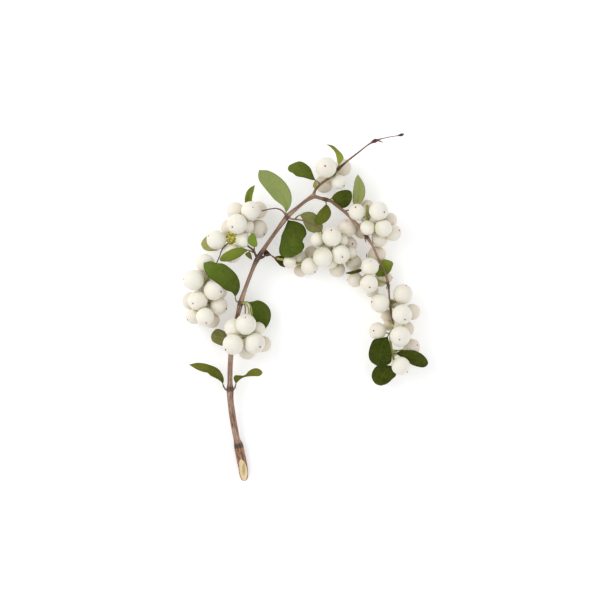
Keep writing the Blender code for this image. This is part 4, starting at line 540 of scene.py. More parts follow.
# Stalks finer than the solids have: (x, y, z, diameter)
FINE_STALKS = {
    "c": [[(-40.8, 2.6, 15.3, 0.9), (-38.2, 2.5, 17.0, 1.1), (-36.4, -0.6, 17.6, 1.2),
           (-36.0, -5.0, 17.4, 1.0)],
          [(-40.6, 3.2, 15.4, 0.7), (-36.8, 3.0, 18.0, 0.8), (-34.7, 0.0, 18.6, 0.8),
           (-34.1, -5.0, 18.4, 0.8), (-34.4, -9.0, 17.6, 0.7)]],
    "e": [[(40.6, 66.0, 11.0, 1.8), (40.9, 63.0, 13.2, 1.8), (40.9, 60.0, 15.5, 1.8),
           (41.0, 57.4, 15.3, 1.7), (41.2, 55.6, 13.6, 1.6)]],
}

# Flower buds that never opened, in the gap of bunch A: (x, y, z, radius)
YOUNG_BUDS = [
    (-49.4, 47.6, 13.9, 1.1), (-47.3, 48.0, 14.5, 1.2), (-45.4, 46.9, 14.2, 1.1), (-48.6, 45.6, 14.8, 1.3),
    (-46.3, 45.0, 15.2, 1.4), (-49.6, 43.6, 14.1, 1.2), (-47.4, 43.1, 14.7, 1.3), (-45.5, 42.9, 14.0, 1.1),
    (-48.4, 41.9, 13.4, 1.2),
]

# Studio, in metres and watts; the view is a square of VIEW_WIDTH millimetres
CAMERA_HEIGHT = 3.0
MIDDLE_HEIGHT = 12.0
SENSOR_WIDTH = 36.0
VIEW_WIDTH = 390.0
VIEW_MIDDLE = (-2.925, 4.75)
FLOOR_SIZE = 4.0
AIR_STRENGTH = 0.76
LIGHTS = [
    ("window", (-0.85, 0.38, 0.80), 1.10, 6.5, (1.0, 0.985, 0.96)),
    ("fill", (0.70, -0.30, 0.80), 0.90, 2.0, (0.97, 0.98, 1.0)),
]


def between(before, start, end, after, t):
    """The point at share t of the way from start to end, on a smooth curve through all four."""
    return 0.5 * (2 * start + (end - before) * t
                  + (2 * before - 5 * start + 4 * end - after) * t * t
                  + (3 * start - before - 3 * end + after) * t ** 3)


def curve_through(points, count):
    """count points at even spacing on a smooth curve through the given points."""
    points = [Vector(point) for point in points]
    ends = [2 * points[0] - points[1]] + points + [2 * points[-1] - points[-2]]
    fine = []
    for before, start, end, after in zip(ends, ends[1:], ends[2:], ends[3:]):
        for k in range(CURVE_PIECES):
            fine.append(between(before, start, end, after, k / CURVE_PIECES))
    fine.append(points[-1])
    lengths = [0.0]
    for start, end in zip(fine, fine[1:]):
        lengths.append(lengths[-1] + (end - start).length)
    result = []
    k = 0
    for step in range(count):
        goal = lengths[-1] * step / (count - 1)
        while k < len(fine) - 2 and lengths[k + 1] < goal:
            k += 1
        share = (goal - lengths[k]) / max(lengths[k + 1] - lengths[k], 1e-9)
        result.append(fine[k].lerp(fine[k + 1], min(max(share, 0.0), 1.0)))
    return result


def route_length(points):
    return sum((Vector(end[:3]) - Vector(start[:3])).length for start, end in zip(points, points[1:]))


def stem_samples(route, step):
    """Points (x, y, z, diameter) along a route, that keep every swelling of the route."""
    result = []
    for k in range(len(route) - 1):
        count = max(2, round(route_length(route[k:k + 2]) / step) + 1)
        before = Vector(route[max(k - 1, 0)])
        start = Vector(route[k])
        end = Vector(route[k + 1])
        after = Vector(route[min(k + 2, len(route) - 1)])
        for j in range(count - 1):
            result.append(between(before, start, end, after, j / (count - 1)))
    result.append(Vector(route[-1]))
    return result


def wood_routes():
    """Every run of wood as (route, spacing of the rings in the solid)."""
    runs = [(route, STEM_STEP) for route in (MAIN_STEM, RIGHT_BRANCH, UPPER_TWIG)]
    return runs + [(stalk, STALK_STEP) for stalk in SIDE_STALKS]


def blade_edges(leaf, count):
    """The left and the right edge of a leaf's blade as count points each, from stalk to tip."""
    base = Vector(leaf.stalk[-1][:2])
    tip = Vector(leaf.tip)
    return [curve_through([base] + [Vector(point) for point in side] + [tip], count)
            for side in (leaf.left, leaf.right)]


def rib_height(leaf, share):
    """Height of the midrib at a share of the blade's length."""
    low, middle, high = leaf.heights
    bend = 2 * middle - (low + high) / 2
    return low * (1 - share) ** 2 + 2 * bend * share * (1 - share) + high * share ** 2


def leaf_rows(leaf):
    """The solid's cross rows (left, midrib, right) of a leaf's blade, from stalk to tip."""
    tip = Vector(leaf.tip)
    left_edge, right_edge = blade_edges(leaf, EDGE_POINTS)
    length = sum((end - start).length for start, end in zip(left_edge, left_edge[1:]))
    row_count = min(max(round(length / ROW_SPACING), FEWEST_ROWS), MOST_ROWS)
    rows = []
    for row in range(1, row_count + 1):
        share = 0.5 - 0.5 * math.cos(math.pi * (BASE_SHARE + (1 - BASE_SHARE) * row / row_count))
        index = round(share * (EDGE_POINTS - 1))
        left = left_edge[index]
        right = right_edge[index]
        if row == row_count:
            spread = (left_edge[-2] - right_edge[-2]).normalized() * TIP_WIDTH / 2
            left = tip + spread
            right = tip - spread
        height = rib_height(leaf, share)
        swell = max(math.sin(math.pi * share), 0.0)
        rows.append((Vector((left.x, left.y, height + leaf.rise[0] * swell)),
                     Vector(((left.x + right.x) / 2, (left.y + right.y) / 2, height)),
                     Vector((right.x, right.y, height + leaf.rise[1] * swell))))
    return rows


class Berry:
    """One berry: its bunch, its middle, its radius and, where it is seen, its calyx."""

    def __init__(self, bunch, place, radius, calyx=None):
        self.bunch = bunch
        self.place = Vector(place)
        self.radius = radius
        self.calyx = calyx


def obstacles():
    """Balls (middle, radius) along the wood and over the leaves, for berries to stay clear of."""
    balls = []
    for route, step in wood_routes():
        samples = stem_samples(route, step)
        for start, end in zip(samples, samples[1:]):
            for share in (0.0, 0.25, 0.5, 0.75):
                point = start.lerp(end, share)
                balls.append((point.xyz, point.w / 2 + WOOD_SPACE))
    for leaf in LEAVES:
        rows = leaf_rows(leaf)
        for near, far in zip(rows, rows[1:]):
            for share in (0.0, 0.5):
                left = near[0].lerp(far[0], share)
                rib = near[1].lerp(far[1], share)
                right = near[2].lerp(far[2], share)
                for point in (left, left.lerp(rib, 0.5), rib, rib.lerp(right, 0.5), right):
                    balls.append((point, LEAF_SPACE))
    return balls


def push(berry, other_place, reach, share):
    """How far up or down a berry moves away from a ball, by a share of their overlap."""
    offset = berry.place - other_place
    overlap = reach - offset.length
    if overlap <= 0 or offset.length < 1e-6:
        return 0.0
    upright = offset.z / offset.length
    return math.copysign(max(abs(upright), LEAST_RISE), upright) * overlap * share


def settle(berries, balls):
    """Slide the berries until neighbours only press lightly into each other."""
    for _ in range(SETTLE_ROUNDS):
        moves = [0.0 for _ in berries]
        for i, first in enumerate(berries):
            for j in range(i):
                second = berries[j]
                reach = first.radius + second.radius
                reach += -PRESS if first.bunch == second.bunch else BUNCH_SPACE
                move = push(first, second.place, reach, BERRY_PUSH)
                moves[i] += move
                moves[j] -= move
            for place, radius in balls:
                if (place.xy - first.place.xy).length < NEARBY:
                    moves[i] += push(first, place, first.radius + radius, OTHER_PUSH)
        for berry, move in zip(berries, moves):
            height = max(berry.place.z + move, berry.radius - FLOOR_PRESS)
            berry.place.z = min(height, TALLEST - berry.radius)


def is_covered(place, radius, berries):
    """Whether a berry there is hidden from above by higher berries of the bunch."""
    for k in range(RIM_POINTS):
        angle = math.tau * k / RIM_POINTS
        rim = Vector((place.x + radius * math.cos(angle), place.y + radius * math.sin(angle)))
        if not any((rim - berry.place.xy).length < berry.radius - COVER_SLACK for berry in berries):
            return False
    return True


def underside_berries(key, bunch, berries, balls, draw):
    """Fill the bunch's underside with berries that cannot be seen from above."""
    own = [berry for berry in berries if berry.bunch == key]
    near = [ball for ball in balls
            if any((ball[0] - berry.place).length < HIDDEN_REACH for berry in own)]
    added = []
    for _ in range(HIDDEN_TRIES):
        if len(added) == bunch.hidden:
            break
        anchor = draw.choice(own)
        radius = draw.uniform(*HIDDEN_SIZE) / 2
        aside = draw.uniform(-HIDDEN_SPREAD, HIDDEN_SPREAD)
        along = draw.uniform(-HIDDEN_SPREAD, HIDDEN_SPREAD)
        place = anchor.place + Vector((aside, along, 0.0))
        place.z = radius - FLOOR_PRESS + draw.uniform(0.0, HIDDEN_DEPTH) * draw.random()
        others = berries + added
        if any((place - other.place).length < radius + other.radius
               + (-HIDDEN_PRESS if other.bunch == key else BUNCH_SPACE) for other in others):
            continue
        if any((place - middle).length < radius + reach for middle, reach in near):
            continue
        if is_covered(place, radius, own):
            added.append(Berry(key, place, radius))
    return added


def all_berries():
    """Every berry of the branch in its settled place."""
    berries = []
    for key, bunch in BUNCHES.items():
        for x, y, size, layer, calyx in bunch.berries:
            berries.append(Berry(key, (x, y, layer), size / 2, calyx))
    balls = obstacles()
    settle(berries, balls)
    draw = random.Random(HIDDEN_SEED)
    for key, bunch in BUNCHES.items():
        berries += underside_berries(key, bunch, berries, balls, draw)
    return berries


def nearest_on(routes, place):
    """The point of the rachis nearest to a place."""
    best = None
    for route in routes:
        for start, end in zip(route, route[1:]):
            start = Vector(start)
            run = Vector(end) - start
            share = min(max((place - start).dot(run) / run.length_squared, 0.0), 1.0)
            point = start + run * share
            if best is None or (place - point).length < (place - best).length:
                best = point
    return best


def new_object(name, mesh):
    piece = bpy.data.objects.new(name, mesh)
    bpy.context.scene.collection.objects.link(piece)
    return piece


def set_attribute(mesh, name, values):
    """Store one number, or one vector, for each vertex of the mesh."""
    values = np.array(values, dtype=np.float32)
    kind = "FLOAT_VECTOR" if values.ndim == 2 else "FLOAT"
    layer = mesh.attributes.new(name, kind, "POINT")
    layer.data.foreach_set("vector" if values.ndim == 2 else "value", values.ravel())


def places_of(mesh):
    places = np.empty(len(mesh.vertices) * 3, dtype=np.float32)
    mesh.vertices.foreach_get("co", places)
    return places.reshape(-1, 3)


def stay_in_box(mesh):
    """Flatten what would reach below the surface or out of the solids' box."""
    low, high = (np.array(corner) for corner in CAD_BOX)
    places = np.clip(places_of(mesh), low + BOX_MARGIN * MM, high - BOX_MARGIN * MM)
    mesh.vertices.foreach_set("co", places.astype(np.float32).ravel())
    mesh.update()


def add(tree, kind, inputs=None, **settings):
    """A new node with its settings; inputs maps a socket to a value or to another node's output."""
    node = tree.nodes.new(kind)
    for name, value in settings.items():
        setattr(node, name, value)
    for key, value in (inputs or {}).items():
        if isinstance(value, bpy.types.NodeSocket):
            tree.links.new(value, node.inputs[key])
        else:
            node.inputs[key].default_value = value
    return node


def new_tree(name, kind, inputs, outputs):
    """An empty node group with named sockets, as (tree, input sockets, output node)."""
    tree = bpy.data.node_groups.new(name, kind)
    for label, socket in inputs:
        tree.interface.new_socket(label, in_out="INPUT", socket_type="NodeSocket" + socket)
    for label, socket in outputs:
        tree.interface.new_socket(label, in_out="OUTPUT", socket_type="NodeSocket" + socket)
    return tree, tree.nodes.new("NodeGroupInput").outputs, tree.nodes.new("NodeGroupOutput")


def numbers(tree, operation, *values):
    """The output of a Math node."""
    return add(tree, "ShaderNodeMath", dict(enumerate(values)), operation=operation).outputs[0]


def times(tree, first, second):
    return numbers(tree, "MULTIPLY", first, second)


def vectors(tree, operation, *values):
    """The output of a Vector Math node; the last value may be a Scale."""
    node = add(tree, "ShaderNodeVectorMath", operation=operation)
    keys = (0, "Scale") if operation == "SCALE" else range(len(values))
    for key, value in zip(keys, values):
        if isinstance(value, bpy.types.NodeSocket):
            tree.links.new(value, node.inputs[key])
        else:
            node.inputs[key].default_value = value
    return node.outputs[0]


def attribute_in(tree, name, kind="FLOAT"):
    """A stored attribute, read inside geometry nodes."""
    return add(tree, "GeometryNodeInputNamedAttribute", {"Name": name}, data_type=kind).outputs[0]


def even_noise(tree, place, seed, detail):
    """Noise from -0.5 to 0.5."""
    noise = add(tree, "ShaderNodeTexNoise", {"Vector": place, "W": seed, "Scale": 1.0, "Detail": detail},
                noise_dimensions="4D").outputs[0]
    return numbers(tree, "SUBTRACT", noise, 0.5)


def push_out(tree, geometry, rise):
    """Move every vertex along its normal."""
    normal = add(tree, "GeometryNodeInputNormal").outputs[0]
    offset = vectors(tree, "SCALE", normal, rise)
    return add(tree, "GeometryNodeSetPosition", {"Geometry": geometry, "Offset": offset}).outputs[0]


def finish_tree(tree, geometry, material, out):
    """Realize, shade smooth and give the material."""
    real = add(tree, "GeometryNodeRealizeInstances", {0: geometry})
    smooth = add(tree, "GeometryNodeSetShadeSmooth", {"Geometry": real.outputs[0]})
    done = add(tree, "GeometryNodeSetMaterial", {"Geometry": smooth.outputs[0], "Material": material})
    tree.links.new(done.outputs[0], out.inputs[0])


def stem_tree():
    """Turns lines with a radius in 'thick' into closed round stems with ridges along them."""
    tree, given, out = new_tree(
        "ridged stem", "GeometryNodeTree",
        [("Geometry", "Geometry"), ("Sides", "Int"), ("Ridge Depth", "Float"), ("Ridges Round", "Float"),
         ("Ridge Length", "Float"), ("Seed", "Float"), ("Material", "Material")],
        [("Geometry", "Geometry")])
    line = add(tree, "GeometryNodeMeshToCurve", {"Mesh": given["Geometry"]}).outputs[0]
    length = add(tree, "GeometryNodeSplineParameter").outputs["Length"]
    line = add(tree, "GeometryNodeStoreNamedAttribute",
               {"Geometry": line, "Name": "along", "Value": length}).outputs[0]
    ring = add(tree, "GeometryNodeCurvePrimitiveCircle",
               {"Resolution": given["Sides"], "Radius": 1.0}).outputs[0]
    place = add(tree, "GeometryNodeInputPosition").outputs[0]
    ring = add(tree, "GeometryNodeStoreNamedAttribute", {"Geometry": ring, "Name": "round", "Value": place},
               data_type="FLOAT_VECTOR").outputs[0]
    thick = attribute_in(tree, "thick")
    stem = add(tree, "GeometryNodeCurveToMesh",
               {"Curve": line, "Profile Curve": ring, "Scale": thick, "Fill Caps": True}).outputs[0]

    turn = vectors(tree, "SCALE", attribute_in(tree, "round", "FLOAT_VECTOR"), given["Ridges Round"])
    run = numbers(tree, "DIVIDE", attribute_in(tree, "along"), given["Ridge Length"])
    grain = vectors(tree, "ADD", turn, add(tree, "ShaderNodeCombineXYZ", {"Z": run}).outputs[0])
    rise = times(tree, even_noise(tree, grain, given["Seed"], 3.0), given["Ridge Depth"])
    growth = numbers(tree, "MINIMUM", numbers(tree, "DIVIDE", thick, MM), FULL_RIDGE)
    stem = push_out(tree, stem, times(tree, rise, growth))
    finish_tree(tree, stem, given["Material"], out)
    return tree


def cluster_tree():
    """Puts a copy of a shape on every point, turned to the point's 'axis' and as large as its 'size'."""
    tree, given, out = new_tree(
        "cluster", "GeometryNodeTree",
        [("Geometry", "Geometry"), ("Shape", "Object"), ("Rise", "Float"), ("Share Of Size", "Float"),
         ("Fixed Size", "Float"), ("Lump Height", "Float"), ("Lump Width", "Float"), ("Seed", "Float"),
         ("Material", "Material")],
        [("Geometry", "Geometry")])
    size = attribute_in(tree, "size")
    axis = attribute_in(tree, "axis", "FLOAT_VECTOR")
    lift = times(tree, size, given["Rise"])
    points = add(tree, "GeometryNodeSetPosition",
                 {"Geometry": given["Geometry"], "Offset": vectors(tree, "SCALE", axis, lift)}).outputs[0]
    shape = add(tree, "GeometryNodeObjectInfo", {"Object": given["Shape"]}).outputs["Geometry"]
    aim = add(tree, "FunctionNodeAlignRotationToVector", {"Vector": axis}, axis="Z").outputs[0]
    spin = add(tree, "FunctionNodeAxisAngleToRotation",
               {"Axis": (0.0, 0.0, 1.0), "Angle": attribute_in(tree, "turn")}).outputs[0]
    aim = add(tree, "FunctionNodeRotateRotation", {"Rotation": aim, "Rotate By": spin},
              rotation_space="LOCAL").outputs[0]
    wide = numbers(tree, "MULTIPLY_ADD", size, given["Share Of Size"], given["Fixed Size"])
    tall = times(tree, wide, attribute_in(tree, "stretch"))
    scale = add(tree, "ShaderNodeCombineXYZ", {"X": wide, "Y": wide, "Z": tall}).outputs[0]
    copies = add(tree, "GeometryNodeInstanceOnPoints",
                 {"Points": points, "Instance": shape, "Rotation": aim, "Scale": scale}).outputs[0]
    copies = add(tree, "GeometryNodeRealizeInstances", {0: copies}).outputs[0]

    place = add(tree, "GeometryNodeInputPosition").outputs[0]
    coarse = vectors(tree, "SCALE", place, numbers(tree, "DIVIDE", 1.0, given["Lump Width"]))
    rise = times(tree, even_noise(tree, coarse, given["Seed"], 1.0), given["Lump Height"])
    finish_tree(tree, push_out(tree, copies, rise), given["Material"], out)
    return tree


def grow(name, mesh, tree, **settings):
    """A plain mesh object, made by running a tree on a mesh with the named settings."""
    seed = new_object(name + "_seed", mesh)
    modifier = seed.modifiers.new("grow", "NODES")
    modifier.node_group = tree
    for socket in tree.interface.items_tree:
        label = socket.name.lower().replace(" ", "_")
        if socket.in_out == "INPUT" and label in settings:
            modifier[socket.identifier] = settings[label]
    graph = bpy.context.evaluated_depsgraph_get()
    grown = bpy.data.meshes.new_from_object(seed.evaluated_get(graph))
    seed.modifiers.remove(modifier)
    bpy.data.objects.remove(seed, do_unlink=True)
    return new_object(name, grown)


def scatter(name, points, shape, clusters, material, seed, lumps, rise=0.0, size=0.0):
    """A copy of the shape on every point: as large as the point says, or all of one size."""
    return grow(name, points, clusters, shape=shape, rise=rise, share_of_size=0.0 if size else 1.0,
                fixed_size=size * MM, lump_height=lumps[0] * MM, lump_width=lumps[1] * MM, seed=seed,
                material=material)


def rounded_ends(samples):
    """Samples (x, y, z, diameter) with two thinner ones added at each end, so that the ends are round."""
    result = list(samples)
    for end, inner in ((0, 1), (-1, -2)):
        tip = result[end]
        away = (tip.xyz - result[inner].xyz).normalized() * tip.w
        caps = [Vector((*(tip.xyz + away * reach), tip.w * share)) for reach, share in CAP_RINGS]
        result = caps[::-1] + result if end == 0 else result + caps
    return result


def tapered(route):
    """A side twig's route, thinner towards its free end."""
    last = len(route) - 1
    return [(x, y, z, width * (1 - TWIG_TAPER * k / last)) for k, (x, y, z, width) in enumerate(route)]


def nearness(place, spots):
    """How near a place lies to one of the spots (x, y, reach), from 0 to 1."""
    return max(math.exp(-((place - Vector((x, y))).length / reach) ** 2) for x, y, reach in spots)


def line_mesh(name, runs, marks=None):
    """One mesh of separate lines with their radius; marks gives the spots of further attributes."""
    vertices = []
    edges = []
    thick = []
    for samples in runs:
        for k, sample in enumerate(samples):
            if k:
                edges.append((len(vertices) - 1, len(vertices)))
            vertices.append(sample.xyz * MM)
            thick.append(sample.w / 2 * MM)
    mesh = bpy.data.meshes.new(name)
    mesh.from_pydata(vertices, edges, [])
    set_attribute(mesh, "thick", thick)
    for label, spots in (marks or {}).items():
        set_attribute(mesh, label, [nearness(vertex.xy / MM, spots) for vertex in vertices])
    return mesh


def knot_places():
    """Where the stem swells at a pair of leaves or stalks, with its direction and radius there."""
    found = []
    for route in (MAIN_STEM, RIGHT_BRANCH, UPPER_TWIG):
        for before, here, after in zip(route, route[1:], route[2:]):
            if here[3] > KNOT_SWELL * (before[3] + after[3]) / 2:
                ahead = (Vector(after[:3]) - Vector(before[:3])).normalized()
                found.append((Vector(here[:3]), ahead, here[3] / 2))
    return found


def point_mesh(name, points):
    """A mesh of loose points from rows (place, axis, size, turn, stretch, painted shade), in millimetres."""
    mesh = bpy.data.meshes.new(name)
    mesh.from_pydata([row[0] * MM for row in points], [], [])
    set_attribute(mesh, "axis", [tuple(row[1]) for row in points])
    set_attribute(mesh, "size", [row[2] * MM for row in points])
    for label, column in (("turn", 3), ("stretch", 4), ("painted_low_shade", 5)):
        set_attribute(mesh, label, [row[column] for row in points])
    return mesh


def ring_faces(rings, sides, first=0):
    """The faces between rings of vertices that follow each other, from the vertex first on."""
    faces = []
    for ring in range(rings - 1):
        for k in range(sides):
            near = first + ring * sides + k
            far = first + ring * sides + (k + 1) % sides
            faces.append((near, far, far + sides, near + sides))
    return faces


def turned_shape(name, profile, segments):
    """A closed turned shape from (radius, height) points; 'pole' runs from -1 at its foot to 1."""
    vertices = []
    for radius, height in profile[1:-1]:
        for k in range(segments):
            angle = math.tau * k / segments
            vertices.append((radius * math.cos(angle), radius * math.sin(angle), height))
    rings = len(profile) - 2
    faces = ring_faces(rings, segments)
    foot = len(vertices)
    vertices += [(0.0, 0.0, profile[0][1]), (0.0, 0.0, profile[-1][1])]
    for k in range(segments):
        following = (k + 1) % segments
        faces.append((foot, following, k))
        faces.append((foot + 1, (rings - 1) * segments + k, (rings - 1) * segments + following))
    mesh = bpy.data.meshes.new(name)
    mesh.from_pydata(vertices, [], faces)
    heights = [vertex[2] for vertex in vertices]
    low = min(heights)
    high = max(heights)
    set_attribute(mesh, "pole", [2 * (height - low) / (high - low) - 1 for height in heights])
    return new_object(name, mesh)


def dent(angle, depth, width):
    return depth * math.exp(-(angle / width) ** 2)


def berry_shape():
    """A berry of radius 1, a little drawn in at its stalk and dimpled round its calyx."""
    profile = []
    for k in range(BERRY_RINGS + 1):
        angle = math.pi * k / BERRY_RINGS
        reach = 1.0 - dent(angle, *STALK_PINCH) - dent(math.pi - angle, *CALYX_DIMPLE)
        profile.append((reach * math.sin(angle), -reach * math.cos(angle)))
    return turned_shape("berry_shape", profile, BERRY_SEGMENTS)


def join_meshes(name, meshes):
    """One mesh from several, kept as separate closed shells."""
    work = bmesh.new()
    for mesh in meshes:
        work.from_mesh(mesh)
    made = bpy.data.meshes.new(name)
    work.to_mesh(made)
    work.free()
    return made


def spike_mesh(foot, tip, width, flat):
    """A pointed four-sided spike from foot to tip, flat times as thick as it is wide."""
    away = (tip - foot).normalized()
    side = away.orthogonal().normalized() if abs(away.z) > 0.9 else away.cross(Vector((0, 0, 1))).normalized()
    up = side.cross(away)
    ring = [side * width, up * width * flat, -side * width, -up * width * flat]
    middle = foot.lerp(tip, SPIKE_BELLY)
    vertices = [foot] + [foot + SPIKE_FOOT * corner for corner in ring]
    vertices += [middle + corner for corner in ring] + [tip]
    last = len(vertices) - 1
    faces = []
    for k in range(4):
        near = 1 + k
        far = 1 + (k + 1) % 4
        faces += [(0, far, near), (near, far, far + 4, near + 4), (near + 4, far + 4, last)]
    mesh = bpy.data.meshes.new("spike")
    mesh.from_pydata(vertices, [], faces)
    work = bmesh.new()
    work.from_mesh(mesh)
    bmesh.ops.recalc_face_normals(work, faces=work.faces[:])
    work.to_mesh(mesh)
    work.free()
    return mesh


def calyx_shape():
    """The dry calyx: five short teeth that lean in over a round stump."""
    teeth = []
    for k in range(CALYX_TEETH):
        angle = math.tau * k / CALYX_TEETH
        out = Vector((math.cos(angle), math.sin(angle), 0.0))
        foot, tip = (out * reach + Vector((0, 0, height)) for reach, height in (TOOTH_FOOT, TOOTH_TIP))
        teeth.append(spike_mesh(foot, tip, TOOTH_WIDTH, TOOTH_FLATNESS))
    stump = turned_shape("stump", STUMP, STUMP_SIDES)
    mesh = join_meshes("calyx_shape", teeth + [stump.data])
    bpy.data.objects.remove(stump, do_unlink=True)
    set_attribute(mesh, "pole", [vertex.co.z for vertex in mesh.vertices])
    return new_object("calyx_shape", mesh)


def bud_scale_shape():
    """A pointed brown scale that hugs the stem at a knot."""
    foot, tip = (Vector((0, 0, height)) for height in SCALE_ENDS)
    return new_object("bud_scale_shape", spike_mesh(foot, tip, SCALE_WIDTH, SCALE_FLATNESS))


def berry_axis(berry, foot):
    """Direction from a berry's foot to its calyx."""
    if berry.calyx:
        flat = Vector(berry.calyx) - berry.place.xy
        rise = math.sqrt(max(berry.radius ** 2 - flat.length_squared, 0.04))
        return Vector((flat.x, flat.y, rise)).normalized()
    away = (berry.place - foot).xy
    if away.length < FLAT_CALYX:
        away = Vector((0.0, -1.0))
    return (away.normalized().to_3d() + Vector((0.0, 0.0, CALYX_DROP))).normalized()


def is_touching(first, second):
    return (first.place - second.place).length < first.radius + second.radius + TOUCH_GAP


def berry_points(berries, routes):
    """Rows for point_mesh, one for each berry; low berries on the outside get painted shade."""
    rows = []
    for k, berry in enumerate(berries):
        foot = nearest_on(routes, berry.place)
        company = sum(is_touching(berry, other) for other in berries) - 1
        # painted shade: the lower a berry lies and the fewer neighbours it has, the darker
        depth = min(max((PAINTED_SHADE_TOP - berry.place.z) / PAINTED_SHADE_TOP, 0.0), 1.0)
        painted_low_shade = depth * min(max(LONE_SHADE - COMPANY_SHADE * company, 0.0), 1.0)
        stretch = 1.0 + BERRY_STRETCH * math.sin(k * STRETCH_STEP)
        rows.append((berry.place, berry_axis(berry, foot), berry.radius, k * TURN_STEP, stretch, painted_low_shade))
    return rows


def mark_crease_shade(mesh, berries):
    """Store how near each vertex lies to another berry, from 0 to 1, as the strength of the painted shade
    between berries.
    """
    places = places_of(mesh) / MM
    count = len(places) // len(berries)
    crease = np.zeros(len(places))
    for k, own in enumerate(berries):
        part = slice(k * count, (k + 1) * count)
        for other in berries:
            reach = own.radius + other.radius + 2 * CREASE_SHADE_REACH
            if other is own or (other.place - own.place).length > reach:
                continue
            gap = np.linalg.norm(places[part] - np.array(other.place), axis=1) - other.radius
            crease[part] = np.maximum(crease[part], np.clip(1 - gap / CREASE_SHADE_REACH, 0, 1))
    set_attribute(mesh, "crease", crease)


def stalk_runs(berries, routes, fine_routes):
    """Samples of a bunch's green stalks: fine extra ones, each rachis, a short stalk to every berry."""
    runs = [rounded_ends(stem_samples(route, STALK_RINGS)) for route in fine_routes]
    for route in routes:
        run = [(x, y, z, RACHIS_THICK * RACHIS_SHARE) for x, y, z in route]
        runs.append(rounded_ends(stem_samples(run, STALK_RINGS)))
    for berry in berries:
        foot = nearest_on(routes, berry.place)
        base = berry.place - berry_axis(berry, foot) * berry.radius * FOOT_DEPTH
        bend = foot.lerp(base, 0.6) - berry_axis(berry, foot) * 0.8
        run = [(*foot, PEDICEL_FINE), (*bend, PEDICEL_FINE), (*base, PEDICEL_FINE * STALK_SWELL)]
        runs.append(rounded_ends(stem_samples(run, STALK_RINGS)))
    return runs


def blade_grid(leaf, number):
    """The blade's middle layer as (place, along, across) in rows from base to tip."""
    left_edge, right_edge = blade_edges(leaf, FINE_EDGE_POINTS)
    grid = []
    for row in range(BLADE_ROWS + 1):
        share = 0.5 - 0.5 * math.cos(math.pi * row / BLADE_ROWS)
        index = round(share * (FINE_EDGE_POINTS - 1))
        centre = (left_edge[index] + right_edge[index]) / 2
        height = rib_height(leaf, share)
        swell = math.sin(math.pi * share)
        line = []
        for column in range(BLADE_COLUMNS + 1):
            across = 2 * column / BLADE_COLUMNS - 1
            side = abs(across)
            edge = left_edge[index] if across < 0 else right_edge[index]
            flat = centre.lerp(edge, side)
            rise = leaf.rise[0] if across < 0 else leaf.rise[1]
            turn = WAVE_COUNT * share + WAVE_SHIFT * number + WAVE_LEAN * across
            wave = EDGE_WAVE * swell * side ** 3 * math.sin(math.tau * turn)
            lift = height + rise * swell * side ** EDGE_CURL + wave
            line.append((Vector((flat.x, flat.y, lift)), share, across))
        grid.append(line)
    return grid


def blade_relief(share, across, pairs):
    """How far the blade rises there: low at the midrib, high between two side veins."""
    side = abs(across)
    phase = pairs * (share - VEIN_SWEEP * side)
    quilt = QUILT * math.sin(math.pi * phase) ** 2 * min(4 * side, 1.0) * (1 - side ** 4)
    groove = RIB_GROOVE * math.exp(-(side / GROOVE_WIDTH) ** 2)
    return (quilt - groove) * math.sin(math.pi * share) ** 0.5


def vein_pairs(leaf):
    """How many pairs of side veins a leaf has."""
    length = (Vector(leaf.tip) - Vector(leaf.stalk[-1][:2])).length
    return max(FEWEST_VEINS, round(length / VEIN_SPACING))


def tube_part(centres, radii, sides, first):
    """Vertices and faces of a closed tube; first is the index of its first vertex."""
    vertices = []
    side = Vector((0.0, 0.0, 1.0))
    for k, centre in enumerate(centres):
        ahead = (centres[min(k + 1, len(centres) - 1)] - centres[max(k - 1, 0)]).normalized()
        side = (side - ahead * side.dot(ahead)).normalized()
        across = ahead.cross(side)
        for j in range(sides):
            angle = math.tau * j / sides
            vertices.append(centre + (side * math.cos(angle) + across * math.sin(angle)) * radii[k])
    faces = ring_faces(len(centres), sides, first)
    faces.append(tuple(range(first + sides - 1, first - 1, -1)))
    last = first + (len(centres) - 1) * sides
    faces.append(tuple(range(last, last + sides)))
    return vertices, faces


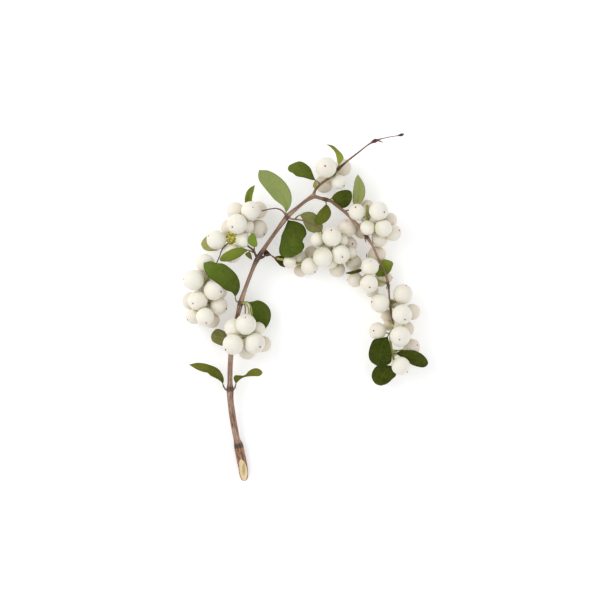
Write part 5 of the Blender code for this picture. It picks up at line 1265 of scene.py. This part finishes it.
def leaf_mesh(name, leaf, number):
    """Blade, midrib and stalk of one leaf. Materials: 0 face up, 1 face down, 2 stalk."""
    grid = blade_grid(leaf, number)
    pairs = vein_pairs(leaf)
    face_up = -1 if number in UNDERSIDE_UP else 1
    upper = []
    lower = []
    for row, line in enumerate(grid):
        for column, (place, share, across) in enumerate(line):
            ahead = grid[min(row + 1, BLADE_ROWS)][column][0] - grid[max(row - 1, 0)][column][0]
            beside = line[min(column + 1, BLADE_COLUMNS)][0] - line[max(column - 1, 0)][0]
            normal = beside.cross(ahead)
            normal = normal.normalized() if normal.length > 1e-9 else Vector((0.0, 0.0, 1.0))
            round_rim = math.sqrt(max(1 - across ** 8, 0.0))
            half = FINE_THICKNESS / 2 * round_rim * min(8 * share * (1 - share), 1.0) ** 0.5
            middle = place + normal * (face_up * blade_relief(share, across, pairs))
            upper.append(middle + normal * half)
            lower.append(middle - normal * half)
    vertices = upper + lower
    along = [share for line in grid for _, share, _ in line] * 2
    across = [side for line in grid for _, _, side in line] * 2
    faces = []
    looks = []
    wide = BLADE_COLUMNS + 1
    for layer, flip in ((0, False), (len(upper), True)):
        for row in range(BLADE_ROWS):
            for column in range(BLADE_COLUMNS):
                near = layer + row * wide + column
                corners = (near, near + 1, near + wide + 1, near + wide)
                faces.append(corners[::-1] if flip else corners)
                looks.append(1 if flip else 0)

    stalk = stem_samples([(*point, 1.0) for point in leaf.stalk], 0.8)
    at_wood, at_blade, at_tip = PETIOLE
    centres = []
    radii = []
    for k, sample in enumerate(stalk):
        centres.append(sample.xyz)
        radii.append((at_wood + (at_blade - at_wood) * k / len(stalk)) / 2)
        along += [k / len(stalk) - 1] * RIB_SIDES
    rib = [line[BLADE_COLUMNS // 2] for line in grid[1:BLADE_ROWS - 2]]
    for place, share, _ in rib:
        radius = (at_blade + (at_tip - at_blade) * share ** 0.6) / 2
        centres.append(place - Vector((0.0, 0.0, face_up * radius * RIB_SINK)))
        radii.append(radius)
        along += [share] * RIB_SIDES
    tube_vertices, tube_faces = tube_part(centres, radii, RIB_SIDES, len(vertices))
    vertices += tube_vertices
    faces += tube_faces
    looks += [2] * len(tube_faces)
    across += [0.0] * len(tube_vertices)

    mesh = bpy.data.meshes.new(name)
    mesh.from_pydata([vertex * MM for vertex in vertices], [], faces)
    mesh.polygons.foreach_set("material_index", looks)
    set_attribute(mesh, "along", along)
    set_attribute(mesh, "across", across)
    bright, slope, olive, brown = LEAF_LOOKS[number - 1]
    set_attribute(mesh, "bright", [bright + slope * (share - 0.5) for share in along])
    set_attribute(mesh, "olive", [olive] * len(vertices))
    set_attribute(mesh, "brown", [brown] * len(vertices))
    set_attribute(mesh, "pairs", [float(pairs)] * len(vertices))
    close_seams(mesh)
    return mesh


def close_seams(mesh):
    """Merge the two layers at the rim, drop faces without area and turn all faces outward."""
    work = bmesh.new()
    work.from_mesh(mesh)
    bmesh.ops.remove_doubles(work, verts=work.verts[:], dist=1e-6)
    bmesh.ops.dissolve_degenerate(work, edges=work.edges[:], dist=1e-7)
    bmesh.ops.recalc_face_normals(work, faces=work.faces[:])
    work.to_mesh(mesh)
    work.free()
    mesh.shade_smooth()


def pattern_group():
    """Shader group 'mottle': two layers of noise, stretched by the caller, as a value from 0 to 1."""
    tree, given, out = new_tree(
        "mottle", "ShaderNodeTree",
        [("Vector", "Vector"), ("Scale", "Float"), ("Fineness", "Float"), ("Contrast", "Float")],
        [("Value", "Float")])
    broad = add(tree, "ShaderNodeTexNoise",
                {"Vector": given["Vector"], "Scale": given["Scale"], "Detail": 4.0})
    fine = add(tree, "ShaderNodeTexNoise",
               {"Vector": given["Vector"], "Scale": times(tree, given["Scale"], given["Fineness"]),
                "Detail": 2.0})
    both = numbers(tree, "MULTIPLY_ADD", fine.outputs[0], 0.4, times(tree, broad.outputs[0], 0.6))
    spread = times(tree, numbers(tree, "SUBTRACT", both, 0.5), given["Contrast"])
    value = add(tree, "ShaderNodeMath", {0: spread, 1: 0.5}, operation="ADD", use_clamp=True)
    tree.links.new(value.outputs[0], out.inputs["Value"])
    return tree


def speck_group():
    """Shader group 'specks': scattered small round marks, 1 on a mark and 0 beside it."""
    tree, given, out = new_tree(
        "specks", "ShaderNodeTree",
        [("Vector", "Vector"), ("Scale", "Float"), ("Size", "Float"), ("Share", "Float")],
        [("Mask", "Float")])
    cells = add(tree, "ShaderNodeTexVoronoi", {"Vector": given["Vector"], "Scale": given["Scale"]})
    near = numbers(tree, "LESS_THAN", cells.outputs["Distance"], given["Size"])
    draw = add(tree, "ShaderNodeSeparateColor", {"Color": cells.outputs["Color"]}).outputs[0]
    kept = numbers(tree, "LESS_THAN", draw, given["Share"])
    tree.links.new(times(tree, near, kept), out.inputs["Mask"])
    return tree


def vein_group():
    """Shader group 'veins': midrib and arching side veins from a blade's own coordinates."""
    tree, given, out = new_tree(
        "veins", "ShaderNodeTree",
        [("Along", "Float"), ("Across", "Float"), ("Pairs", "Float"), ("Width", "Float")],
        [("Rib", "Float"), ("Veins", "Float"), ("Rim", "Float")])
    side = numbers(tree, "ABSOLUTE", given["Across"])
    taper = numbers(tree, "MULTIPLY_ADD", given["Along"], -0.7, 1.0)
    reach = times(tree, times(tree, given["Width"], 1.1), taper)
    rib = add(tree, "ShaderNodeMapRange", {0: side, 1: 0.0, 2: reach, 3: 1.0, 4: 0.0},
              interpolation_type="SMOOTHSTEP").outputs[0]
    lean = numbers(tree, "SUBTRACT", given["Along"], times(tree, side, VEIN_SWEEP))
    phase = times(tree, lean, given["Pairs"])
    off = numbers(tree, "ABSOLUTE", numbers(tree, "SUBTRACT", numbers(tree, "FRACT", phase), 0.5))
    away = numbers(tree, "SUBTRACT", 0.5, off)
    line = add(tree, "ShaderNodeMapRange", {0: away, 1: 0.0, 2: given["Width"], 3: 1.0, 4: 0.0},
               interpolation_type="SMOOTHSTEP").outputs[0]
    fade = numbers(tree, "SUBTRACT", 1.0, numbers(tree, "POWER", side, 3.0))
    tree.links.new(rib, out.inputs["Rib"])
    tree.links.new(times(tree, line, fade), out.inputs["Veins"])
    tree.links.new(numbers(tree, "POWER", side, 10.0), out.inputs["Rim"])
    return tree


def new_material(name, **constants):
    """A material and its tree; constants are values of the Principled shader's own sockets."""
    made = bpy.data.materials.new(name)
    made.use_nodes = True
    shader = made.node_tree.nodes["Principled BSDF"]
    for label, value in constants.items():
        shader.inputs[label.replace("_", " ").title().replace("Ior", "IOR")].default_value = value
    return made, made.node_tree, shader


def attribute(tree, name):
    """A stored attribute, read inside a material, as (number, vector)."""
    node = add(tree, "ShaderNodeAttribute", attribute_type="GEOMETRY", attribute_name=name)
    return node.outputs["Fac"], node.outputs["Vector"]


def object_place(tree):
    return add(tree, "ShaderNodeTexCoord").outputs["Object"]


def group(tree, name, **inputs):
    """A shader group placed in a material; inputs are named as the group's sockets."""
    node = add(tree, "ShaderNodeGroup", node_tree=bpy.data.node_groups[name])
    for label, value in inputs.items():
        socket = node.inputs[label.replace("_", " ").title()]
        if isinstance(value, bpy.types.NodeSocket):
            tree.links.new(value, socket)
        else:
            socket.default_value = value
    return node


def mottle(tree, place, scale, fineness, contrast):
    return group(tree, "mottle", vector=place, scale=scale, fineness=fineness, contrast=contrast).outputs[0]


def specks(tree, place, scale, size, share):
    return group(tree, "specks", vector=place, scale=scale, size=size, share=share).outputs[0]


def blend_colours(tree, share, first, second):
    """Mix two colours by a share from 0, all first, to 1, all second."""
    node = add(tree, "ShaderNodeMix", data_type="RGBA")
    for index, value in ((0, share), (6, first), (7, second)):
        if isinstance(value, bpy.types.NodeSocket):
            tree.links.new(value, node.inputs[index])
        elif index == 0:
            node.inputs[index].default_value = value
        else:
            node.inputs[index].default_value = (*value, 1.0)
    return node.outputs[2]


def layered(tree, colour, layers):
    """The colour with the layers (share, colour) laid over it in turn."""
    for share, tint in layers:
        colour = blend_colours(tree, share, colour, tint)
    return colour


def ramp(tree, value, low, high, top=1.0):
    """0 below low, top above high, smooth between."""
    return add(tree, "ShaderNodeMapRange", {0: value, 1: low, 2: high, 3: 0.0, 4: top},
               interpolation_type="SMOOTHSTEP").outputs[0]


def from_to(tree, value, low, high):
    """Low where the value is 0, high where it is 1."""
    return add(tree, "ShaderNodeMapRange", {0: value, 3: low, 4: high}).outputs[0]


def bump(tree, shader, height, distance, strength=1.0):
    node = add(tree, "ShaderNodeBump", {"Height": height, "Strength": strength, "Distance": distance * MM})
    tree.links.new(node.outputs[0], shader.inputs["Normal"])


def berry_material():
    """Waxy off-white skin: creamy, greener at the stalk, with painted shade where berries press together and
    on low berries at a bunch's outside.
    """
    made, tree, shader = new_material("berry_wax", specular_ior_level=0.35, subsurface_weight=0.25,
                                      subsurface_scale=1.2 * MM)
    shader.inputs["Subsurface Radius"].default_value = (1.0, 0.85, 0.6)
    place = object_place(tree)
    pole = attribute(tree, "pole")[0]
    crease = attribute(tree, "crease")[0]
    painted_low_shade = attribute(tree, "painted_low_shade")[0]
    cloud = mottle(tree, place, scale=150.0, fineness=6.0, contrast=1.6)
    blush = times(tree, ramp(tree, pole, 0.55, 1.0, 0.30), ramp(tree, cloud, 0.35, 0.7))
    fine = specks(tree, place, scale=900.0, size=0.16, share=0.05)
    colour = layered(tree, blend_colours(tree, cloud, BERRY_WHITE, BERRY_CREAM), [
        # painted shade on low outer berries
        (times(tree, painted_low_shade, 0.8), BERRY_PAINTED_SHADE),
        (ramp(tree, pole, -0.35, -1.0, 0.6), BERRY_GREEN),
        (blush, BERRY_BLUSH),
        # painted shade where berries press together
        (ramp(tree, crease, 0.15, 1.0, 0.7), BERRY_CREASE_SHADE),
        (times(tree, fine, 0.5), BERRY_SPECK),
    ])
    tree.links.new(colour, shader.inputs["Base Color"])
    grain = mottle(tree, place, scale=900.0, fineness=3.0, contrast=1.2)
    tree.links.new(from_to(tree, grain, 0.34, 0.52), shader.inputs["Roughness"])
    bump(tree, shader, grain, 0.05, 0.5)
    return made


def bark_material():
    """Red-brown bark under a thin tan skin that splits into streaks along the stem."""
    made, tree, shader = new_material("streaked_bark", specular_ior_level=0.3)
    along = attribute(tree, "along")[0]
    turn = attribute(tree, "round")[1]
    thick = attribute(tree, "thick")[0]
    knot = attribute(tree, "knot")[0]
    run = add(tree, "ShaderNodeCombineXYZ", {"Z": times(tree, along, 60.0)}).outputs[0]
    grain = vectors(tree, "ADD", vectors(tree, "SCALE", turn, 2.2), run)
    streaks = mottle(tree, grain, scale=1.6, fineness=3.5, contrast=3.0)
    patches = mottle(tree, object_place(tree), scale=90.0, fineness=4.0, contrast=2.2)
    old = ramp(tree, thick, 0.7 * MM, 2.0 * MM)
    red = blend_colours(tree, patches, BARK_RED, BARK_BROWN)
    skin = blend_colours(tree, patches, BARK_TAN, BARK_GREY)
    height = add(tree, "ShaderNodeSeparateXYZ", {0: object_place(tree)}).outputs["Y"]
    old_end = ramp(tree, height, COLLAR_Y * MM, (COLLAR_Y - 2) * MM, 0.8)
    skin = blend_colours(tree, old_end, skin, BARK_ORANGE)
    cover = times(tree, ramp(tree, streaks, 0.36, 0.66), from_to(tree, old, 0.42, 0.85))
    dots = specks(tree, object_place(tree), scale=700.0, size=0.25, share=0.12)
    layers = [(times(tree, attribute(tree, label)[0], most), tint) for label, tint, most in BARK_TINTS]
    # dark bark at knots and dots; at the node behind bunch A this darkening is painted shade
    layers += [(ramp(tree, knot, 0.25, 0.9, 0.75), BARK_DARK_AND_SHADE), (times(tree, dots, 0.5), BARK_DARK_AND_SHADE)]
    colour = layered(tree, blend_colours(tree, cover, red, skin), layers)
    tree.links.new(colour, shader.inputs["Base Color"])
    tree.links.new(from_to(tree, streaks, 0.48, 0.78), shader.inputs["Roughness"])
    bump(tree, shader, streaks, 0.12, 0.9)
    return made


def cut_wood_material():
    """Cream wood with fine fibres round a darker pith."""
    made, tree, shader = new_material("cut_wood", roughness=0.75, specular_ior_level=0.2)
    middle = (CUT_TOP + CUT_FOOT) / 2
    place = add(tree, "ShaderNodeMapping", {"Vector": object_place(tree),
                                            "Location": (CUT_MIDDLE_X * -MM, middle.y * -MM, 0.0)}).outputs[0]
    parts = add(tree, "ShaderNodeSeparateXYZ", {0: place})
    reach = numbers(tree, "POWER", numbers(tree, "DIVIDE", parts.outputs["Y"], PITH_LENGTH / 2 * MM), 2.0)
    width = numbers(tree, "POWER", numbers(tree, "DIVIDE", parts.outputs["X"], PITH_WIDTH / 2 * MM), 2.0)
    pith = ramp(tree, numbers(tree, "ADD", reach, width), 1.6, 0.4, 0.8)
    stretched = vectors(tree, "MULTIPLY", place, (6.0, 0.7, 6.0))
    fibres = mottle(tree, stretched, scale=300.0, fineness=3.0, contrast=2.0)
    colour = blend_colours(tree, fibres, WOOD_CREAM, WOOD_YELLOW)
    colour = blend_colours(tree, pith, colour, WOOD_PITH)
    tree.links.new(colour, shader.inputs["Base Color"])
    bump(tree, shader, fibres, 0.08, 0.8)
    return made


def leaf_material(name, dark, bright, vein, vein_share, roughness, relief):
    """One side of a leaf: its greens, its veins, its net and its browned rim."""
    made, tree, shader = new_material(name, specular_ior_level=0.07)
    place = object_place(tree)
    along = attribute(tree, "along")[0]
    across = attribute(tree, "across")[0]
    lines = group(tree, "veins", along=along, across=across, pairs=attribute(tree, "pairs")[0], width=0.09)
    cloud = mottle(tree, place, scale=130.0, fineness=5.0, contrast=2.0)
    drift = numbers(tree, "SUBTRACT", cloud, 0.5)
    light = numbers(tree, "ADD", attribute(tree, "bright")[0], times(tree, drift, 0.22))
    colour = blend_colours(tree, light, dark, bright)
    warm = numbers(tree, "MULTIPLY_ADD", drift, 0.4, attribute(tree, "olive")[0])
    colour = blend_colours(tree, warm, colour, vectors(tree, "MULTIPLY", colour, LEAF_OLIVE))
    net = add(tree, "ShaderNodeTexVoronoi", {"Vector": place, "Scale": 800.0}, feature="DISTANCE_TO_EDGE")
    mesh_lines = ramp(tree, net.outputs["Distance"], 0.10, 0.0, 0.5)
    both = numbers(tree, "MAXIMUM", lines.outputs["Rib"], times(tree, lines.outputs["Veins"], 0.7))
    shown = numbers(tree, "MAXIMUM", both, times(tree, mesh_lines, 0.35))
    brown = attribute(tree, "brown")[0]
    worn = times(tree, brown, ramp(tree, cloud, 0.25, 0.6))
    edge = numbers(tree, "MAXIMUM", lines.outputs["Rim"], ramp(tree, along, 0.93, 1.0))
    spots = specks(tree, place, scale=260.0, size=0.17, share=0.10)
    colour = layered(tree, colour, [
        (times(tree, shown, vein_share), vein),
        (ramp(tree, brown, 0.75, 1.0, 0.9), LEAF_BROWN),
        (times(tree, edge, times(tree, worn, 1.3)), LEAF_BROWN),
        (times(tree, spots, times(tree, worn, 0.8)), LEAF_BROWN),
    ])
    tree.links.new(colour, shader.inputs["Base Color"])
    tree.links.new(from_to(tree, cloud, roughness, roughness + 0.15), shader.inputs["Roughness"])
    height = numbers(tree, "MULTIPLY_ADD", cloud, 0.25, times(tree, shown, relief))
    bump(tree, shader, height, 0.10, 0.8)
    return made


def plain_grain_material(name, first, second, roughness, scale):
    """Two close colours, mottled, with a fine bump: for stalks, calyxes and bud scales."""
    made, tree, shader = new_material(name, roughness=roughness, specular_ior_level=0.3)
    cloud = mottle(tree, object_place(tree), scale=scale, fineness=4.0, contrast=2.4)
    tree.links.new(blend_colours(tree, cloud, first, second), shader.inputs["Base Color"])
    bump(tree, shader, cloud, 0.05, 0.7)
    return made


def leaf_stalk_material():
    """Red-brown at the wood, green along the blade."""
    made, tree, shader = new_material("leaf_stalk", roughness=0.55, specular_ior_level=0.15)
    cloud = mottle(tree, object_place(tree), scale=300.0, fineness=4.0, contrast=2.0)
    along = numbers(tree, "MULTIPLY_ADD", cloud, 0.4, attribute(tree, "along")[0])
    colour = blend_colours(tree, ramp(tree, along, -0.7, 0.2), STALK_RED, STALK_GREEN)
    tree.links.new(colour, shader.inputs["Base Color"])
    bump(tree, shader, cloud, 0.05, 0.7)
    return made


def keep(piece, slot, *nodes):
    """The piece stays inside the solids' box, goes with the branch and hides the solids it stands for; slot
    is not used.
    """
    stay_in_box(piece.data)
    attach(piece, "root")
    if nodes:
        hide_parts(*nodes)


def cut_foot(mesh):
    """The slanted cut: bark stands round it as a thin rim, and the bare wood lies a little deeper."""
    along = CUT_TOP - CUT_FOOT
    normal = Vector((0.0, -along.z, along.y)).normalized()
    work = bmesh.new()
    work.from_mesh(mesh)
    bmesh.ops.bisect_plane(work, geom=work.verts[:] + work.edges[:] + work.faces[:], dist=1e-7,
                           plane_co=CUT_FOOT * MM, plane_no=normal, clear_outer=True)
    rim = [edge for edge in work.edges if edge.is_boundary]
    made = bmesh.ops.holes_fill(work, edges=rim, sides=0)["faces"]
    bmesh.ops.inset_region(work, faces=made, thickness=BARK_RIM * MM, depth=0.0)
    bmesh.ops.inset_region(work, faces=made, thickness=CUT_SINK * MM, depth=-CUT_SINK * MM)
    for face in made:
        face.material_index = 1
    bmesh.ops.recalc_face_normals(work, faces=work.faces[:])
    work.to_mesh(mesh)
    work.free()


def make_wood(stems, materials):
    knots = knot_places()
    routes = [MAIN_STEM, RIGHT_BRANCH, UPPER_TWIG] + [tapered(stalk) for stalk in SIDE_STALKS]
    runs = [rounded_ends(stem_samples(route, WOOD_STEP)) for route in routes]
    # dark bark at every knot and at the listed dark spots, two of which are painted shade
    dark = [(*place.xy, KNOT_REACH) for place, _, _ in knots] + DARK_SPOTS_AND_SHADE
    marks = {"knot": dark, "olive": OLIVE_BARK, "rosy": ROSY_BARK, "pale": PALE_BARK}
    lines = line_mesh("wood_lines", runs, marks)
    wood = grow("wood", lines, stems, sides=WOOD_SIDES, ridge_depth=BARK_DEPTH * MM,
                ridges_round=BARK_ROUGH[0], ridge_length=BARK_ROUGH[1] * MM, seed=3.0,
                material=materials["streaked_bark"])
    wood.data.materials.append(materials["cut_wood"])
    cut_foot(wood.data)
    keep(wood, "bark", "woody_stem")
    return knots


def make_bud_scales(knots, clusters, materials):
    """Two pairs of dry scales at every knot of the younger wood."""
    shape = bud_scale_shape()
    rows = []
    for place, ahead, radius in knots:
        if radius > OLD_WOOD:
            continue
        beside = Vector((-ahead.y, ahead.x, 0.0)).normalized()
        pairs = [(out, lean) for lean in SCALE_LEANS for out in (beside, -beside)]
        for k, (out, lean) in enumerate(pairs):
            foot = place + out * radius * SCALE_SEAT + ahead * (SCALE_START - k * SCALE_STEP)
            axis = (ahead * lean + out * SCALE_OUT + Vector((0, 0, SCALE_UP))).normalized()
            size = SCALE_SIZE[0] + SCALE_SIZE[1] * radius
            rows.append((foot, axis, size, k * SCALE_TURN, 1.0, 0.0))
    points = point_mesh("bud_scale_points", rows)
    scales = scatter("bud_scales", points, shape, clusters, materials["knot_scale"], 5.0, SCALE_LUMPS)
    bpy.data.objects.remove(shape, do_unlink=True)
    keep(scales, "bark")


def make_young_buds(berry, calyx, clusters, materials):
    """The buds that never opened, each facing another way, with their dry tips."""
    rows = []
    for k, (x, y, z, radius) in enumerate(YOUNG_BUDS):
        axis = Vector((math.sin(k * BUD_SPIN), math.cos(k * BUD_SPIN), BUD_RISE)).normalized()
        rows.append((Vector((x, y, z)), axis, radius, k * BUD_TURN, YOUNG_STRETCH, 0.0))
    points = point_mesh("young_bud_points", rows)
    buds = scatter("young_buds", points.copy(), berry, clusters, materials["young_bud"], 6.0, BUD_LUMPS)
    keep(buds, "leaf_green")
    tips = scatter("young_bud_tips", points, calyx, clusters, materials["dry_calyx"], 2.0,
                   YOUNG_TIP_LUMPS, YOUNG_TIP_PLACE, YOUNG_TIP)
    keep(tips, "bark")


def make_bunches(stems, clusters, materials):
    """For each bunch its berries, their calyxes and the green stalks."""
    berry = berry_shape()
    calyx = calyx_shape()
    berries = all_berries()
    for key, bunch in BUNCHES.items():
        own = [one for one in berries if one.bunch == key]
        points = point_mesh("points_" + key, berry_points(own, bunch.routes))
        fruit = scatter("berry_skins_" + key, points.copy(), berry, clusters, materials["berry_wax"], 1.0,
                        BERRY_LUMPS)
        mark_crease_shade(fruit.data, own)
        keep(fruit, "berry_skin", "berries_" + key)

        tips = scatter("calyxes_" + key, points, calyx, clusters, materials["dry_calyx"], 2.0,
                       CALYX_LUMPS, TIP_PLACE, TIP_SIZE)
        keep(tips, "bark")

        lines = line_mesh("stalk_lines_" + key, stalk_runs(own, bunch.routes, FINE_STALKS.get(key, [])))
        stalks = grow("stalks_" + key, lines, stems, sides=GREEN_SIDES, ridge_depth=STALK_DEPTH * MM,
                      ridges_round=STALK_ROUGH[0], ridge_length=STALK_ROUGH[1] * MM, seed=4.0,
                      material=materials["green_stalk"])
        keep(stalks, "leaf_green")
    make_young_buds(berry, calyx, clusters, materials)
    bpy.data.objects.remove(berry, do_unlink=True)
    bpy.data.objects.remove(calyx, do_unlink=True)


def make_leaves(materials):
    for number, leaf in enumerate(LEAVES, 1):
        node = f"leaf_{number:02d}"
        blade = new_object("blade_" + node[-2:], leaf_mesh("blade_" + node[-2:], leaf, number))
        sides = ["leaf_top", "leaf_back"]
        slot = "leaf_green"
        if number in UNDERSIDE_UP:
            sides.reverse()
            slot = "leaf_underside"
        for name in sides + ["leaf_stalk"]:
            blade.data.materials.append(materials[name])
        keep(blade, slot, node)


def make_spikes(materials):
    """Small dry spikes and stubs along the branch."""
    parts = []
    for start, end, width in SPIKES:
        parts.append(spike_mesh(Vector(start) * MM, Vector(end) * MM, width / 2 * MM, SPIKE_FLATNESS))
    spikes = new_object("dry_spikes", join_meshes("dry_spikes", parts))
    spikes.data.materials.append(materials["knot_scale"])
    spikes.data.shade_smooth()
    keep(spikes, "bark")


def make_materials():
    pattern_group()
    speck_group()
    vein_group()
    made = [
        berry_material(), bark_material(), cut_wood_material(),
        leaf_material("leaf_top", LEAF_DARK, LEAF_BRIGHT, LEAF_VEIN,
                      vein_share=0.15, roughness=0.40, relief=-1.0),
        leaf_material("leaf_back", UNDER_DARK, UNDER_BRIGHT, UNDER_VEIN,
                      vein_share=0.30, roughness=0.6, relief=1.0),
        leaf_stalk_material(),
        plain_grain_material("green_stalk", RACHIS_GREEN, RACHIS_OLIVE, roughness=0.5, scale=250.0),
        plain_grain_material("young_bud", BUD_GREEN, BUD_YELLOW, roughness=0.5, scale=350.0),
        plain_grain_material("dry_calyx", CALYX_DARK, CALYX_BROWN, roughness=0.8, scale=900.0),
        plain_grain_material("knot_scale", SCALE_DARK, SCALE_BROWN, roughness=0.75, scale=500.0),
    ]
    return {material.name: material for material in made}


def make_studio():
    """White floor, pale surroundings, a broad light from the upper left and a weaker one opposite."""
    white, _, shader = new_material("studio_white", roughness=0.9, specular_ior_level=0.1)
    shader.inputs["Base Color"].default_value = (*FLOOR_WHITE, 1.0)
    shader.inputs["Emission Color"].default_value = (1.0, 1.0, 1.0, 1.0)
    shader.inputs["Emission Strength"].default_value = FLOOR_GLOW
    floor_mesh = bpy.data.meshes.new("studio_floor")
    half = FLOOR_SIZE / 2
    floor_mesh.from_pydata([(-half, -half, 0), (half, -half, 0), (half, half, 0), (-half, half, 0)], [],
                           [(0, 1, 2, 3)])
    floor = new_object("studio_floor", floor_mesh)
    floor.data.materials.append(white)

    world = bpy.data.worlds.new("studio_air")
    world.use_nodes = True
    world.node_tree.nodes["Background"].inputs["Color"].default_value = (*AIR_COLOUR, 1.0)
    world.node_tree.nodes["Background"].inputs["Strength"].default_value = AIR_STRENGTH
    bpy.context.scene.world = world
    for name, place, size, power, colour in LIGHTS:
        light = bpy.data.lights.new(name, "AREA")
        light.shape = "DISK"
        light.size = size
        light.energy = power
        light.color = colour
        lamp = bpy.data.objects.new(name, light)
        lamp.location = place
        lamp.rotation_euler = (-Vector(place)).to_track_quat("-Z", "Y").to_euler()
        bpy.context.scene.collection.objects.link(lamp)


def make_camera():
    """Straight down from far away, so that a millimetre keeps its size at every height."""
    lens = bpy.data.cameras.new("camera")
    lens.sensor_width = SENSOR_WIDTH
    lens.lens = SENSOR_WIDTH * (CAMERA_HEIGHT - MIDDLE_HEIGHT * MM) / (VIEW_WIDTH * MM)
    camera = bpy.data.objects.new("camera", lens)
    camera.location = (VIEW_MIDDLE[0] * MM, VIEW_MIDDLE[1] * MM, CAMERA_HEIGHT)
    bpy.context.scene.collection.objects.link(camera)
    bpy.context.scene.camera = camera


def build():
    materials = make_materials()
    stems = stem_tree()
    clusters = cluster_tree()
    knots = make_wood(stems, materials)
    make_bud_scales(knots, clusters, materials)
    make_bunches(stems, clusters, materials)
    make_leaves(materials)
    make_spikes(materials)
    make_studio()
    make_camera()
    bpy.context.scene.view_settings.view_transform = "Standard"


build()
